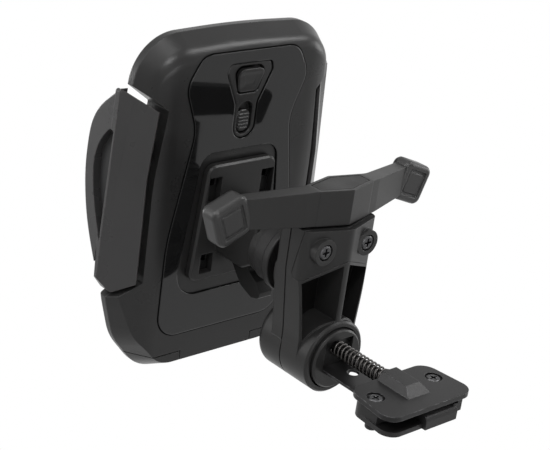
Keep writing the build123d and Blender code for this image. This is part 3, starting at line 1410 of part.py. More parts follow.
def clip_body():
    """Moulded block on the pull rod with a thin base that forms the mouth."""
    w = BLOCK_HALF_WIDTH
    outline = rounded([(-w, CLIP_BACK_Y), (w, CLIP_BACK_Y), (w, BLOCK_FRONT_Y), (-w, BLOCK_FRONT_Y)],
                      [BLOCK_CORNER_R, BLOCK_CORNER_R, 0, 0])
    body = slab_z(outline, CLIP_LOW_Z, CLIP_PLATE_Z)
    points = [
        (-w, CLIP_BACK_Y + BLOCK_CORNER_R),
        (w, CLIP_BACK_Y + BLOCK_CORNER_R),
        (BASE_FRONT_X, BASE_FRONT_Y),
        (-BASE_FRONT_X, BASE_FRONT_Y),
    ]
    base = rounded(points, [0, 0, BASE_CORNER_R, BASE_CORNER_R])
    body += slab_z(base, CLIP_LOW_Z, CLIP_LOW_Z + BASE_THICK)
    x = RIB_HALF_WIDTH
    body += block(-x, x, CLIP_BACK_Y, RIB_FRONT_Y, CLIP_PLATE_Z - 1, RIB_TOP_Z)
    body += rod_y(0, ROD_Z, SPRING_BOSS_R, CLIP_BACK_Y - SPRING_BOSS, CLIP_BACK_Y)
    body -= rod_y(0, ROD_Z, ROD_R, 0, ROD_FRONT_Y)
    c = RAIL_CLEAR
    half = RAIL_HALF_WIDTH + c
    body -= block(-half, half, 0, RAIL_FRONT_Y + SLIDE_TRAVEL + 2 * c, -FAR, RAIL_TOP_Z + c)
    body -= rod_z(0, PIN_Y, PIN_R, RAIL_TOP_Z + PIN_LOW, RIB_TOP_Z + 1)
    for x in (-CLIP_SCREW_X, CLIP_SCREW_X):
        body -= rod_z(x, CLIP_SCREW_Y, SCREW_SHANK_R, CLIP_LOW_Z + CLIP_HOLE_FLOOR, CLIP_PLATE_Z + 1)
    return body


def clip_hook():
    """Moulded hook across one side of the mouth, with an ear beside it."""
    low = CLIP_LOW_Z + BASE_THICK
    y0 = BLOCK_FRONT_Y
    side = [
        (y0, low),
        (y0, CLIP_PLATE_Z),
        (y0 + HOOK_SHOULDER, CLIP_PLATE_Z),
        (HOOK_FRONT_Y, CLIP_PLATE_Z - 2 * CLIP_PLATE_THICK),
        (HOOK_FRONT_Y, CLIP_LOW_Z),
        (BASE_FRONT_Y, CLIP_LOW_Z),
        (BASE_FRONT_Y, low),
    ]
    hook = slab_x(rounded(side, [0, 0, HOOK_CORNER_R, 1.5, 0, 0, 0]), HOOK_X0, HOOK_X1)
    hook += block(EAR_X0, EAR_X1, y0 + EAR_BACK, y0 + EAR_FRONT, EAR_LOW_Z, CLIP_PLATE_Z)
    return hook - block(EAR_WINDOW_X0, EAR_WINDOW_X1, y0 + EAR_BACK + 0.3, FAR, CLIP_PLATE_Z - EAR_WINDOW, FAR)


def clip_screws():
    screws = None
    top = CLIP_PLATE_Z + CLIP_PLATE_THICK - CLIP_RECESS
    for x in (-CLIP_SCREW_X, CLIP_SCREW_X):
        one = rod_z(x, CLIP_SCREW_Y, CLIP_SCREW_R, top, top + CLIP_RECESS - 0.1)
        one += rod_z(x, CLIP_SCREW_Y, SCREW_SHANK_R, CLIP_LOW_Z + CLIP_HOLE_FLOOR + 0.4, top)
        screws = one if screws is None else screws + one
    return screws


def clip_nub():
    x = (NUB_X0 + NUB_X1) / 2
    r = (NUB_X1 - NUB_X0) / 2
    nub = rod_z(x, NUB_Y, r, CLIP_LOW_Z - NUB_DROP, CLIP_LOW_Z)
    return fillet(nub.faces().sort_by(Axis.Z)[0].edges(), NUB_EDGE)


# ---- every node ----------------------------------------------------------
NODES = {
    "rear_shell": rear_shell,
    "front_shell": front_shell,
    "shell_screws": shell_screws,
    "phone_pad": phone_pad,
    "gloss_panel": gloss_panel,
    "keyhole_bezel": keyhole_bezel,
    "release_button": release_button,
    "lock_slider": lock_slider,
    "receptacle_frame": receptacle_frame,
    "left_jaw": left_jaw,
    "right_jaw": right_jaw,
    "left_pad": left_pad,
    "right_pad": right_pad,
    "left_rack": left_rack,
    "right_rack": right_rack,
    "pinion": pinion,
    "pinion_drum": pinion_drum,
    "release_pawl": release_pawl,
    "pawl_pin": pawl_pin,
    "left_foot": left_foot,
    "right_foot": right_foot,
    "claw_plate": claw_plate,
    "rear_cup": rear_cup,
    "front_cup": front_cup,
    "ring_nut": ring_nut,
    "ball_stud": ball_stud,
    "arm_body": arm_body,
    "arm_cover": arm_cover,
    "cover_screws": cover_screws,
    "wing_bar": wing_bar,
    "wing_cap": wing_cap,
    "left_wing_pad": left_wing_pad,
    "right_wing_pad": right_wing_pad,
    "tension_knob": tension_knob,
    "knob_nut": knob_nut,
    "hub_disc": hub_disc,
    "guide_rail": guide_rail,
    "pull_rod": pull_rod,
    "rod_pin": rod_pin,
    "tension_spring": tension_spring,
    "clip_plate": clip_plate,
    "clip_body": clip_body,
    "clip_hook": clip_hook,
    "clip_screws": clip_screws,
    "clip_nub": clip_nub,
}


def main():
    os.makedirs("parts", exist_ok=True)
    shift = Pos(*[-v for v in ORIGIN])
    for name, build in NODES.items():
        solid = shift * build()
        export_step(solid, os.path.join("parts", name + ".step"))
        box = solid.bounding_box()
        print(name, len(solid.solids()), round(solid.volume, 1), box.min, box.max)


main()
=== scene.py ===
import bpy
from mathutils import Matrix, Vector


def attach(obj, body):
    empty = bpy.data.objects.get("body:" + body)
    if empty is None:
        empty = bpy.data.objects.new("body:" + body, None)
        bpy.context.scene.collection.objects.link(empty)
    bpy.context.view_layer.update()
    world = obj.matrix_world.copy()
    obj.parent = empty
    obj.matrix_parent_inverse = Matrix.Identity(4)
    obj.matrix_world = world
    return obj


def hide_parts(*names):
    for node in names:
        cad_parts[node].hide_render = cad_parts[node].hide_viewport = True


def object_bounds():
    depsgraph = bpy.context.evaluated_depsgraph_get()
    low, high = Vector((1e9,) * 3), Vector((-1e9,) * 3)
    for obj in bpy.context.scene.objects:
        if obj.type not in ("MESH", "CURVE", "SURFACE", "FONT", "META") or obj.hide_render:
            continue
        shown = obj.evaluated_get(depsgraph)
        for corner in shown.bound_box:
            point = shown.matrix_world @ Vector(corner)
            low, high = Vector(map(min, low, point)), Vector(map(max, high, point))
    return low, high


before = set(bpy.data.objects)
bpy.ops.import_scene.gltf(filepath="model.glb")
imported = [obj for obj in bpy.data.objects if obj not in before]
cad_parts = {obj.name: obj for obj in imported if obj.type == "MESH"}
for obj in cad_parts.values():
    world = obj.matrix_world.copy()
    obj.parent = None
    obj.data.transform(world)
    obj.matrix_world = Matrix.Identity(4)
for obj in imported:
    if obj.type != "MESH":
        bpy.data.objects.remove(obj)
lo0, hi0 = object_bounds()

import math
from functools import partial

import bmesh
import bpy
from mathutils import Matrix, Vector

MM = 0.001
ORIGIN = Vector((0.0, 83.0, -31.7))      # origin of the row frame, in the device frame


def at(x, y, z):
    """Point of the device frame in millimetres, as metres of the row frame."""
    return (Vector((x, y, z)) - ORIGIN) * MM


# ---- camera ----------------------------------------------------------------
CAM_AZIMUTH = 44.4
CAM_ELEVATION = 22.9
CAM_ROLL = 8.1
CAM_FOCAL_PX = 1500.0
CAM_DEPTH = 439.9                        # from the camera to ANCHOR, along the line of sight
SENSOR_WIDTH = 36.0
IMAGE_W = 550
IMAGE_H = 450
# Point of the device frame that the camera sees at pixel ANCHOR_PX.
ANCHOR_PX = (234.0, 188.0)
ANCHOR = (0.5, 0.0, 0.0)


def make_camera():
    """Camera of the view, placed by its angles, its depth and the pixel of the anchor."""
    a, e, r = (math.radians(v) for v in (CAM_AZIMUTH, CAM_ELEVATION, CAM_ROLL))
    back = Vector((math.sin(a) * math.cos(e), math.cos(a) * math.cos(e), math.sin(e)))
    side = Vector((-math.cos(a), math.sin(a), 0.0))
    up = Vector((-math.sin(e) * math.sin(a), -math.sin(e) * math.cos(a), math.cos(e)))
    right = side * math.cos(r) + up * math.sin(r)
    top = -side * math.sin(r) + up * math.cos(r)
    dx = (ANCHOR_PX[0] - IMAGE_W / 2) / CAM_FOCAL_PX * CAM_DEPTH
    dy = -(ANCHOR_PX[1] - IMAGE_H / 2) / CAM_FOCAL_PX * CAM_DEPTH
    place = Vector(ANCHOR) - right * dx - top * dy + back * CAM_DEPTH
    cam = bpy.data.objects.new("view_camera", bpy.data.cameras.new("view_camera"))
    cam.data.sensor_fit = "HORIZONTAL"
    cam.data.sensor_width = SENSOR_WIDTH
    cam.data.lens = SENSOR_WIDTH * CAM_FOCAL_PX / IMAGE_W
    cam.data.clip_start = 0.01
    cam.data.clip_end = 50.0
    spin = Matrix((right, top, back)).transposed()
    cam.matrix_world = Matrix.Translation((place - ORIGIN) * MM) @ spin.to_4x4()
    bpy.context.collection.objects.link(cam)
    bpy.context.scene.camera = cam
    return cam


# ---- materials -------------------------------------------------------------
# Scales of the noises that all finishes share, in cells per metre.
MOTTLE_SCALE = 90.0
RUB_AND_HIGHLIGHT_SCALE = 700.0
GRAIN_DEPTH = 0.03 * MM
EDGE_REACH = 0.35 * MM
# Cosine between the bevelled and the true normal where the lighter edge colour begins, and where it is
# full: partly wear, partly painted highlight.
EDGE_BEGINS = 0.99
EDGE_FULL = 0.80
# Part of each noise's range that shows: plain to lighter along the edges, as wear and painted highlight,
# smooth to rough on the faces.
RUB_AND_HIGHLIGHT_RANGE = (0.42, 0.62)
MOTTLE_RANGE = (0.3, 0.7)


class Nodes:
    """Small helper that adds nodes and links to one material."""

    def __init__(self, name):
        self.material = bpy.data.materials.new(name)
        self.material.use_nodes = True
        self.tree = self.material.node_tree
        self.tree.nodes.clear()
        self.out = self.add("ShaderNodeOutputMaterial")
        self.shader = self.add("ShaderNodeBsdfPrincipled")
        self.link(self.shader.outputs[0], self.out.inputs[0])
        self.coords = self.add("ShaderNodeTexCoord").outputs["Object"]

    def add(self, kind, **sockets):
        node = self.tree.nodes.new(kind)
        for key, value in sockets.items():
            node.inputs[key.replace("_", " ")].default_value = value
        return node

    def link(self, a, b):
        self.tree.links.new(a, b)

    def noise(self, scale, detail=3.0, rough=0.5):
        node = self.add("ShaderNodeTexNoise", Scale=scale, Detail=detail, Roughness=rough)
        self.link(self.coords, node.inputs["Vector"])
        return node.outputs["Fac"]

    def ramp(self, value, low, high, a, b):
        node = self.add("ShaderNodeMapRange")
        node.inputs["From Min"].default_value = low
        node.inputs["From Max"].default_value = high
        node.inputs["To Min"].default_value = a
        node.inputs["To Max"].default_value = b
        self.link(value, node.inputs["Value"])
        return node.outputs[0]

    def edges(self, radius):
        """Mask that is 1 along edges, from the difference of bevelled and true normals."""
        soft = self.add("ShaderNodeBevel")
        soft.samples = 4
        soft.inputs["Radius"].default_value = radius
        true = self.add("ShaderNodeNewGeometry")
        dot = self.add("ShaderNodeVectorMath")
        dot.operation = "DOT_PRODUCT"
        self.link(soft.outputs[0], dot.inputs[0])
        self.link(true.outputs["Normal"], dot.inputs[1])
        return self.ramp(dot.outputs["Value"], EDGE_BEGINS, EDGE_FULL, 0.0, 1.0)

    def mix(self, factor, a, b):
        node = self.add("ShaderNodeMix")
        node.data_type = "RGBA"
        node.inputs[6].default_value = (*a, 1.0)
        node.inputs[7].default_value = (*b, 1.0)
        self.link(factor, node.inputs[0])
        return node.outputs[2]


def finish_material(n, tone, rub_and_highlight_colour, rough, spread, grain, grain_scale, round_mm, rub_and_highlight_amount):
    """Colour with lighter edges, partly wear and partly painted highlight, uneven roughness, and grain over
    rounded edges.
    """
    mottled = n.noise(MOTTLE_SCALE, detail=4.0)
    edge = n.edges(EDGE_REACH)
    rub_and_highlight_noise = n.noise(RUB_AND_HIGHLIGHT_SCALE, detail=4.0, rough=0.6)
    # Lighter edge colour: partly wear, partly painted highlight along the edges.
    rub_and_highlight_mask = n.add("ShaderNodeMath")
    rub_and_highlight_mask.operation = "MULTIPLY"
    n.link(edge, rub_and_highlight_mask.inputs[0])
    n.link(n.ramp(rub_and_highlight_noise, *RUB_AND_HIGHLIGHT_RANGE, 0.0, rub_and_highlight_amount), rub_and_highlight_mask.inputs[1])
    n.link(n.mix(rub_and_highlight_mask.outputs[0], tone, rub_and_highlight_colour), n.shader.inputs["Base Color"])
    roughness = n.ramp(mottled, *MOTTLE_RANGE, rough - spread, rough + spread)
    n.link(roughness, n.shader.inputs["Roughness"])
    bevel = n.add("ShaderNodeBevel")
    bevel.samples = 6
    bevel.inputs["Radius"].default_value = round_mm * MM
    bump = n.add("ShaderNodeBump", Strength=grain, Distance=GRAIN_DEPTH)
    n.link(n.noise(grain_scale, detail=2.0), bump.inputs["Height"])
    n.link(bevel.outputs[0], bump.inputs["Normal"])
    n.link(bump.outputs[0], n.shader.inputs["Normal"])


def satin_black(name="moulded_satin", tone=(0.0115, 0.0112, 0.0113), rough=0.40, grain=0.5, shine=0.17):
    """Satin moulded plastic; the shells and the arm have their own tones of it."""
    n = Nodes(name)
    finish_material(
        n, tone=tone, rub_and_highlight_colour=(0.05, 0.05, 0.052),
        rough=rough, spread=0.05, grain=grain, grain_scale=5200.0, round_mm=0.3, rub_and_highlight_amount=0.35,
    )
    n.shader.inputs["Specular IOR Level"].default_value = shine
    return n.material


def gloss_black(name="piano_gloss"):
    """Polished plastic of the panel, under a thin coat."""
    n = Nodes(name)
    finish_material(
        n, tone=(0.005, 0.005, 0.0051), rub_and_highlight_colour=(0.03, 0.03, 0.031),
        rough=0.06, spread=0.025, grain=0.06, grain_scale=260.0, round_mm=0.45, rub_and_highlight_amount=0.2,
    )
    n.shader.inputs["Specular IOR Level"].default_value = 0.26
    n.shader.inputs["Coat Weight"].default_value = 0.12
    n.shader.inputs["Coat Roughness"].default_value = 0.03
    return n.material


def semi_gloss(name="jaw_gloss"):
    """Half-gloss plastic of the jaws."""
    n = Nodes(name)
    finish_material(
        n, tone=(0.024, 0.0236, 0.0238), rub_and_highlight_colour=(0.11, 0.09, 0.093),
        rough=0.30, spread=0.05, grain=0.35, grain_scale=4200.0, round_mm=0.4, rub_and_highlight_amount=0.5,
    )
    n.shader.inputs["Specular IOR Level"].default_value = 0.22
    return n.material


def rubber(name="matte_rubber"):
    """Matte rubber of the pads that touch the phone."""
    n = Nodes(name)
    finish_material(
        n, tone=(0.018, 0.018, 0.0184), rub_and_highlight_colour=(0.05, 0.04, 0.04),
        rough=0.62, spread=0.06, grain=0.9, grain_scale=3400.0, round_mm=0.3, rub_and_highlight_amount=0.3,
    )
    n.shader.inputs["Specular IOR Level"].default_value = 0.25
    return n.material


def pad_rubber(name="pad_rubber"):
    """Smoother rubber of the pads on the wing bar."""
    n = Nodes(name)
    finish_material(
        n, tone=(0.010, 0.0098, 0.0098), rub_and_highlight_colour=(0.07, 0.07, 0.07),
        rough=0.36, spread=0.06, grain=0.7, grain_scale=3000.0, round_mm=0.55, rub_and_highlight_amount=0.6,
    )
    n.shader.inputs["Specular IOR Level"].default_value = 0.3
    return n.material


def textured_cap(name="textured_cap"):
    """Coarse-grained plastic of the wing bar's cap."""
    n = Nodes(name)
    finish_material(
        n, tone=(0.009, 0.0088, 0.0088), rub_and_highlight_colour=(0.05, 0.05, 0.05),
        rough=0.5, spread=0.08, grain=1.0, grain_scale=1500.0, round_mm=0.2, rub_and_highlight_amount=0.3,
    )
    n.shader.inputs["Specular IOR Level"].default_value = 0.22
    return n.material


def pocket_shade_paint(name="pocket_shade_paint"):
    """Painted shade: near-black colour of the sheet in the arm's pockets, standing in for their shadow."""
    n = Nodes(name)
    finish_material(
        n, tone=(0.004, 0.0039, 0.0039), rub_and_highlight_colour=(0.01, 0.01, 0.01),
        rough=0.3, spread=0.05, grain=0.3, grain_scale=3000.0, round_mm=0.1, rub_and_highlight_amount=0.1,
    )
    n.shader.inputs["Specular IOR Level"].default_value = 0.06
    return n.material


def seam_black(name="seam_shadow"):
    """Almost black line of the joint round the panel."""
    n = Nodes(name)
    finish_material(
        n, tone=(0.001, 0.001, 0.001), rub_and_highlight_colour=(0.002, 0.002, 0.002),
        rough=0.9, spread=0.05, grain=0.2, grain_scale=3000.0, round_mm=0.1, rub_and_highlight_amount=0.0,
    )
    n.shader.inputs["Specular IOR Level"].default_value = 0.02
    return n.material


def metal(name, tone, rough, rub_and_highlight_colour):
    """Bare metal of a given tone."""
    n = Nodes(name)
    finish_material(
        n, tone=tone, rub_and_highlight_colour=rub_and_highlight_colour,
        rough=rough, spread=0.07, grain=0.3, grain_scale=3800.0, round_mm=0.12, rub_and_highlight_amount=0.5,
    )
    n.shader.inputs["Metallic"].default_value = 1.0
    return n.material


def painted_steel(name="blackened_steel"):
    """Blackened steel with bright edges, partly wear and partly painted highlight."""
    n = Nodes(name)
    finish_material(
        n, tone=(0.009, 0.0088, 0.009), rub_and_highlight_colour=(0.16, 0.16, 0.165),
        rough=0.36, spread=0.06, grain=0.5, grain_scale=4600.0, round_mm=0.25, rub_and_highlight_amount=0.6,
    )
    n.shader.inputs["Metallic"].default_value = 0.3
    n.shader.inputs["Specular IOR Level"].default_value = 0.25
    return n.material


def acetal(name="inner_acetal"):
    """Plain dark plastic of the parts inside."""
    n = Nodes(name)
    finish_material(
        n, tone=(0.05, 0.05, 0.052), rub_and_highlight_colour=(0.12, 0.12, 0.12),
        rough=0.5, spread=0.05, grain=0.3, grain_scale=4800.0, round_mm=0.2, rub_and_highlight_amount=0.2,
    )
    return n.material


def dress(node, material):
    """Give a CAD node its material."""
    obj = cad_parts[node]
    obj.data.materials.clear()
    obj.data.materials.append(material)


# ---- mesh helpers ----------------------------------------------------------
def new_piece(name, mesh_edit, material, body):
    """Object from a mesh edit, riding on a body, with the given material."""
    mesh = bpy.data.meshes.new(name)
    bm = bmesh.new()
    mesh_edit(bm)
    bmesh.ops.recalc_face_normals(bm, faces=bm.faces)
    bm.to_mesh(mesh)
    bm.free()
    obj = bpy.data.objects.new(name, mesh)
    bpy.context.collection.objects.link(obj)
    mesh.materials.append(material)
    for face in mesh.polygons:
        face.use_smooth = False
    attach(obj, body)
    return obj


def bridge(bm, low, high):
    """Band of quads between two loops of as many vertices."""
    for i in range(len(low)):
        j = (i + 1) % len(low)
        bm.faces.new((low[i], low[j], high[j], high[i]))


# Profile of a pan head: each ring as shares of its radius and of its height.
HEAD_RINGS = ((1.0, 0.0), (1.0, 0.45), (0.93, 0.75), (0.78, 1.0))
HEAD_SIDES = 32
# Cross recess: reach and half width as shares of the head's radius, depth as a share of the reach,
# and the size of its floor as a share of its top.
CROSS_REACH = 0.62
CROSS_HALF_WIDTH = 0.17
CROSS_DEPTH = 0.75
CROSS_FLOOR = 0.8


def screw_head(bm, place, axis, r, height):
    """Pan-head screw: domed rim, flat top and a sunk cross recess."""
    axis = Vector(axis).normalized()
    turn = axis.to_track_quat("Z", "Y").to_matrix().to_4x4()
    base = Matrix.Translation(place) @ turn
    loops = []
    for width, rise in HEAD_RINGS:
        radius = r * width
        z = height * rise
        loop = []
        for i in range(HEAD_SIDES):
            a = 2 * math.pi * i / HEAD_SIDES
            loop.append(bm.verts.new(base @ Vector((radius * math.cos(a), radius * math.sin(a), z))))
        loops.append(loop)
    for low, high in zip(loops, loops[1:]):
        bridge(bm, low, high)
    bm.faces.new(list(reversed(loops[0])))
    cross_recess(bm, base, loops[-1], height, r * CROSS_REACH, r * CROSS_HALF_WIDTH)


def cross_recess(bm, base, rim, top, reach, half):
    """Top face with a cross-shaped recess, joined to the rim of the head."""
    corners = [
        (reach, -half), (reach, half), (half, half), (half, reach), (-half, reach), (-half, half),
        (-reach, half), (-reach, -half), (-half, -half), (-half, -reach), (half, -reach), (half, -half),
    ]
    upper = [bm.verts.new(base @ Vector((x, y, top))) for x, y in corners]
    floor_z = top - reach * CROSS_DEPTH
    lower = [bm.verts.new(base @ Vector((x * CROSS_FLOOR, y * CROSS_FLOOR, floor_z))) for x, y in corners]
    bridge(bm, upper, lower)
    bm.faces.new(lower)
    edges = []
    for loop in (rim, upper):
        for i in range(len(loop)):
            edge = bm.edges.get((loop[i], loop[(i + 1) % len(loop)]))
            edges.append(edge)
    bmesh.ops.triangle_fill(bm, edges=edges, use_beauty=True)


# ---- studio ----------------------------------------------------------------
LAMP_REACH = 0.95                # distance of every lamp from its target, in metres
LAMP_TARGET = (0.0, 35.0, -5.0)  # in the device frame
AMBIENT = 0.2
FLOOR_HALF_SIZE = 4.0
FLOOR_DROP = 0.03
FLOOR_GREY = 0.85
# Each lamp: way to the right, up and back towards the viewer, its size in metres and its power.
LAMPS = {
    "key_top": (-0.1, 0.9, 0.35, 0.45, 3.2),
    "rim_left": (-1.0, 0.1, -0.5, 0.4, 11.0),
    "upper_left": (-0.7, 0.7, 0.5, 0.35, 4.4),
    "upper_right": (1.0, 0.9, 0.15, 0.3, 3.6),
    "front_top": (0.1, 0.5, 0.8, 0.25, 5.0),
    "side_left": (-1.0, 0.25, 0.15, 0.5, 2.0),
    "rim_right": (1.0, 0.2, -0.5, 0.4, 2.4),
    "low_right": (0.6, -0.4, 0.6, 0.4, 3.4),
    "front_fill": (0.3, 0.1, 1.0, 0.5, 0.6),
}


def add_area(name, place, target, size, energy):
    """Square area lamp that faces the target."""
    light = bpy.data.lights.new(name, "AREA")
    light.energy = energy
    light.size = size
    obj = bpy.data.objects.new(name, light)
    obj.location = place
    aim = Vector(target) - Vector(place)
    obj.rotation_euler = aim.to_track_quat("-Z", "Y").to_euler()
    bpy.context.collection.objects.link(obj)


def camera_axes(cam):
    """Directions to the right, up and back towards the viewer, as the camera has them."""
    m = cam.matrix_world.to_3x3()
    return m.col[0].copy(), m.col[1].copy(), m.col[2].copy()


def seen_rays(nodes, links):
    """1 for the rays that show the backdrop: those of the camera and of reflections."""
    path = nodes.new("ShaderNodeLightPath")
    both = nodes.new("ShaderNodeMath")
    both.operation = "MAXIMUM"
    links.new(path.outputs["Is Camera Ray"], both.inputs[0])
    links.new(path.outputs["Is Glossy Ray"], both.inputs[1])
    return both.outputs[0]


def studio(cam):
    """White backdrop with dim ambient light, and the lamps placed by the camera's own axes."""
    world = bpy.data.worlds.new("studio_world")
    bpy.context.scene.world = world
    world.use_nodes = True
    nodes = world.node_tree.nodes
    links = world.node_tree.links
    nodes.clear()
    out = nodes.new("ShaderNodeOutputWorld")
    seen = nodes.new("ShaderNodeBackground")
    seen.inputs[0].default_value = (1, 1, 1, 1)
    seen.inputs[1].default_value = 1.0
    ambient = nodes.new("ShaderNodeBackground")
    ambient.inputs[0].default_value = (1, 1, 1, 1)
    ambient.inputs[1].default_value = AMBIENT
    mix = nodes.new("ShaderNodeMixShader")
    links.new(seen_rays(nodes, links), mix.inputs[0])
    links.new(ambient.outputs[0], mix.inputs[1])
    links.new(seen.outputs[0], mix.inputs[2])
    links.new(mix.outputs[0], out.inputs[0])
    right, up, back = camera_axes(cam)
    middle = at(*LAMP_TARGET)
    for name, (x, y, z, size, energy) in LAMPS.items():
        way = (right * x + up * y + back * z).normalized()
        add_area(name, middle + way * LAMP_REACH, middle, size, energy)


def floor():
    """Pale floor under the part, white as the backdrop to the camera."""
    material = bpy.data.materials.new("pale_floor")
    material.use_nodes = True
    nodes = material.node_tree.nodes
    links = material.node_tree.links
    nodes.clear()
    out = nodes.new("ShaderNodeOutputMaterial")
    white = nodes.new("ShaderNodeEmission")
    white.inputs[1].default_value = 1.0
    soft = nodes.new("ShaderNodeBsdfDiffuse")
    soft.inputs[0].default_value = (FLOOR_GREY, FLOOR_GREY, FLOOR_GREY, 1)
    mix = nodes.new("ShaderNodeMixShader")
    links.new(seen_rays(nodes, links), mix.inputs[0])
    links.new(soft.outputs[0], mix.inputs[1])
    links.new(white.outputs[0], mix.inputs[2])
    links.new(mix.outputs[0], out.inputs[0])
    mesh = bpy.data.meshes.new("floor")
    w = FLOOR_HALF_SIZE
    z = lo0[2] - FLOOR_DROP
    mesh.from_pydata([(-w, -w, z), (w, -w, z), (w, w, z), (-w, w, z)], [], [(0, 1, 2, 3)])
    obj = bpy.data.objects.new("floor", mesh)
    bpy.context.collection.objects.link(obj)
    mesh.materials.append(material)


# Screw heads on the cover and on the clip: middle of the seat (X, Y, Z), then radius and height.
COVER_SCREW = (7.95, 46.97, 0.7)
COVER_HEAD = (2.15, 0.85)
CLIP_SCREW = (11.2, 76.6, -28.7)
CLIP_HEAD = (2.05, 0.6)


# ---- the object ------------------------------------------------------------
def dress_all():
    """Give every CAD node its material; returns those of the screws, the pads and the shell."""
    satin = satin_black()
    shell = satin_black("shell_satin", tone=(0.0095, 0.0093, 0.0093), rough=0.31, grain=0.6, shine=0.22)
    arm = satin_black("arm_satin", tone=(0.0125, 0.0123, 0.0122), rough=0.34, grain=0.35)
    gloss = gloss_black()
    jaw = semi_gloss()
    soft = rubber()
    pad = pad_rubber()
    steel = painted_steel()
    wire = metal("spring_wire", tone=(0.055, 0.052, 0.05), rough=0.34, rub_and_highlight_colour=(0.24, 0.24, 0.24))
    rod = metal("rod_steel", tone=(0.07, 0.068, 0.067), rough=0.32, rub_and_highlight_colour=(0.3, 0.3, 0.3))
    screw = metal("screw_steel", tone=(0.06, 0.06, 0.062), rough=0.35, rub_and_highlight_colour=(0.3, 0.3, 0.3))
    brass = metal("nut_brass", tone=(0.62, 0.46, 0.2), rough=0.3, rub_and_highlight_colour=(0.8, 0.65, 0.35))
    inner = acetal()
    plan = {
        shell: [
            "rear_shell", "front_shell", "left_foot", "right_foot", "keyhole_bezel", "receptacle_frame",
        ],
        gloss: ["gloss_panel"],
        satin: ["release_button", "lock_slider", "clip_body", "clip_hook", "clip_nub", "ring_nut"],
        arm: ["claw_plate", "arm_body", "arm_cover", "wing_bar", "tension_knob", "hub_disc", "ball_stud"],
        jaw: ["left_jaw", "right_jaw"],
        textured_cap(): ["wing_cap"],
        soft: ["phone_pad", "left_pad", "right_pad"],
        pad: ["left_wing_pad", "right_wing_pad"],
        steel: ["clip_plate", "guide_rail"],
        wire: ["tension_spring", "pinion_drum"],
        rod: ["pull_rod", "rod_pin", "pawl_pin"],
        screw: ["shell_screws", "cover_screws", "clip_screws"],
        brass: ["knob_nut"],
        inner: ["left_rack", "right_rack", "pinion", "release_pawl", "rear_cup", "front_cup"],
    }
    for material, nodes in plan.items():
        for node in nodes:
            dress(node, material)
    return screw, pad, shell


def screw_heads(material):
    """Pan heads with cross recesses, which stand for the plain screws of the cover and the clip."""
    seats = {
        "cover": (COVER_SCREW, (0, 1, 0), COVER_HEAD, "arm"),
        "clip": (CLIP_SCREW, (0, 0, 1), CLIP_HEAD, "clip"),
    }
    for name, ((x, y, z), axis, (r, height), body) in seats.items():
        def edit(bm):
            for side in (-1, 1):
                screw_head(bm, at(side * x, y, z), axis, r * MM, height * MM)
        heads = new_piece(name + "_screw_heads", edit, material, body)
        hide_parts(name + "_screws")


# Rubber pads of the wing bar: middle, size and lean of the outline seen along Y.
PAD_MIDDLE = (33.9, 32.2, 10.5)
PAD_WIDTH = 11.8
PAD_HEIGHT = 11.9
PAD_CORNER = 2.4
PAD_LEAN = math.radians(21.0)
PAD_LEAST_CORNER = 0.5
PAD_CORNER_STEPS = 8
# Depth along Y and inset of each ring of the pad, from its back to the raised middle of its face.
PAD_RINGS = (
    (0.0, 1.3), (0.3, 0.55), (0.9, 0.12), (1.6, 0.0), (4.9, 0.0), (5.5, 0.14), (5.95, 0.5), (6.2, 1.1),
    (6.2, 2.0), (5.65, 2.2), (5.65, 2.75), (6.0, 3.0),
)


def pad_outline(inset):
    """Rounded outline of the pad about its middle, in millimetres."""
    w = PAD_WIDTH / 2 - inset
    h = PAD_HEIGHT / 2 - inset
    r = max(PAD_CORNER - inset, PAD_LEAST_CORNER)
    points = []
    for sx, sz, start in ((1, 1, 0), (-1, 1, 90), (-1, -1, 180), (1, -1, 270)):
        for step in range(PAD_CORNER_STEPS + 1):
            a = math.radians(start + step * 90 / PAD_CORNER_STEPS)
            points.append((sx * (w - r) + r * math.cos(a), sz * (h - r) + r * math.sin(a)))
    return points


def wing_pad(bm, side):
    """One pad of the wing bar, on the left (1) or on the right (-1)."""
    x0, y0, z0 = PAD_MIDDLE
    lean = PAD_LEAN * side
    loops = []
    for y, inset in PAD_RINGS:
        loop = []
        for x, z in pad_outline(inset):
            tx = x * math.cos(lean) + z * math.sin(lean)
            tz = z * math.cos(lean) - x * math.sin(lean)
            loop.append(bm.verts.new(at(side * x0 + tx, y0 + y, z0 + tz)))
        loops.append(loop)
    for low, high in zip(loops, loops[1:]):
        bridge(bm, low, high)
    bm.faces.new(loops[0])
    bm.faces.new(loops[-1])


def wing_pads(material):
    """Fuller pads with a grooved face, which stand for the plain ones."""
    for name, side in (("left", 1), ("right", -1)):
        pad = new_piece(name + "_grip_pad", lambda bm: wing_pad(bm, side), material, "arm")
        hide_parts(name + "_wing_pad")


# ---- keyhole: bezel, button and slider ---------------------------------------
# Right half of each outline from its top down, as (X, Z) corners and their radii.
BEZEL_HALF = (((7.9, 38.8), 1.6), ((8.7, 35.8), 1.6), ((4.3, 26.4), 4.0), ((4.3, 15.7), 4.0))
BUTTON_HALF = (((5.3, 37.1), 2.0), ((3.5, 29.8), 1.6))
WELL_HALF = (((6.3, 37.9), 2.6), ((3.9, 29.2), 1.8))
SLOT_HALF = (((2.95, 27.0), 2.9), ((2.95, 16.8), 2.9))
SLIDER_HALF = (((2.5, 24.2), 2.0), ((2.5, 17.5), 2.2))
KEYHOLE_FLOOR = 0.05              # Y of the bezel's face
WELL_FLOOR = -1.7
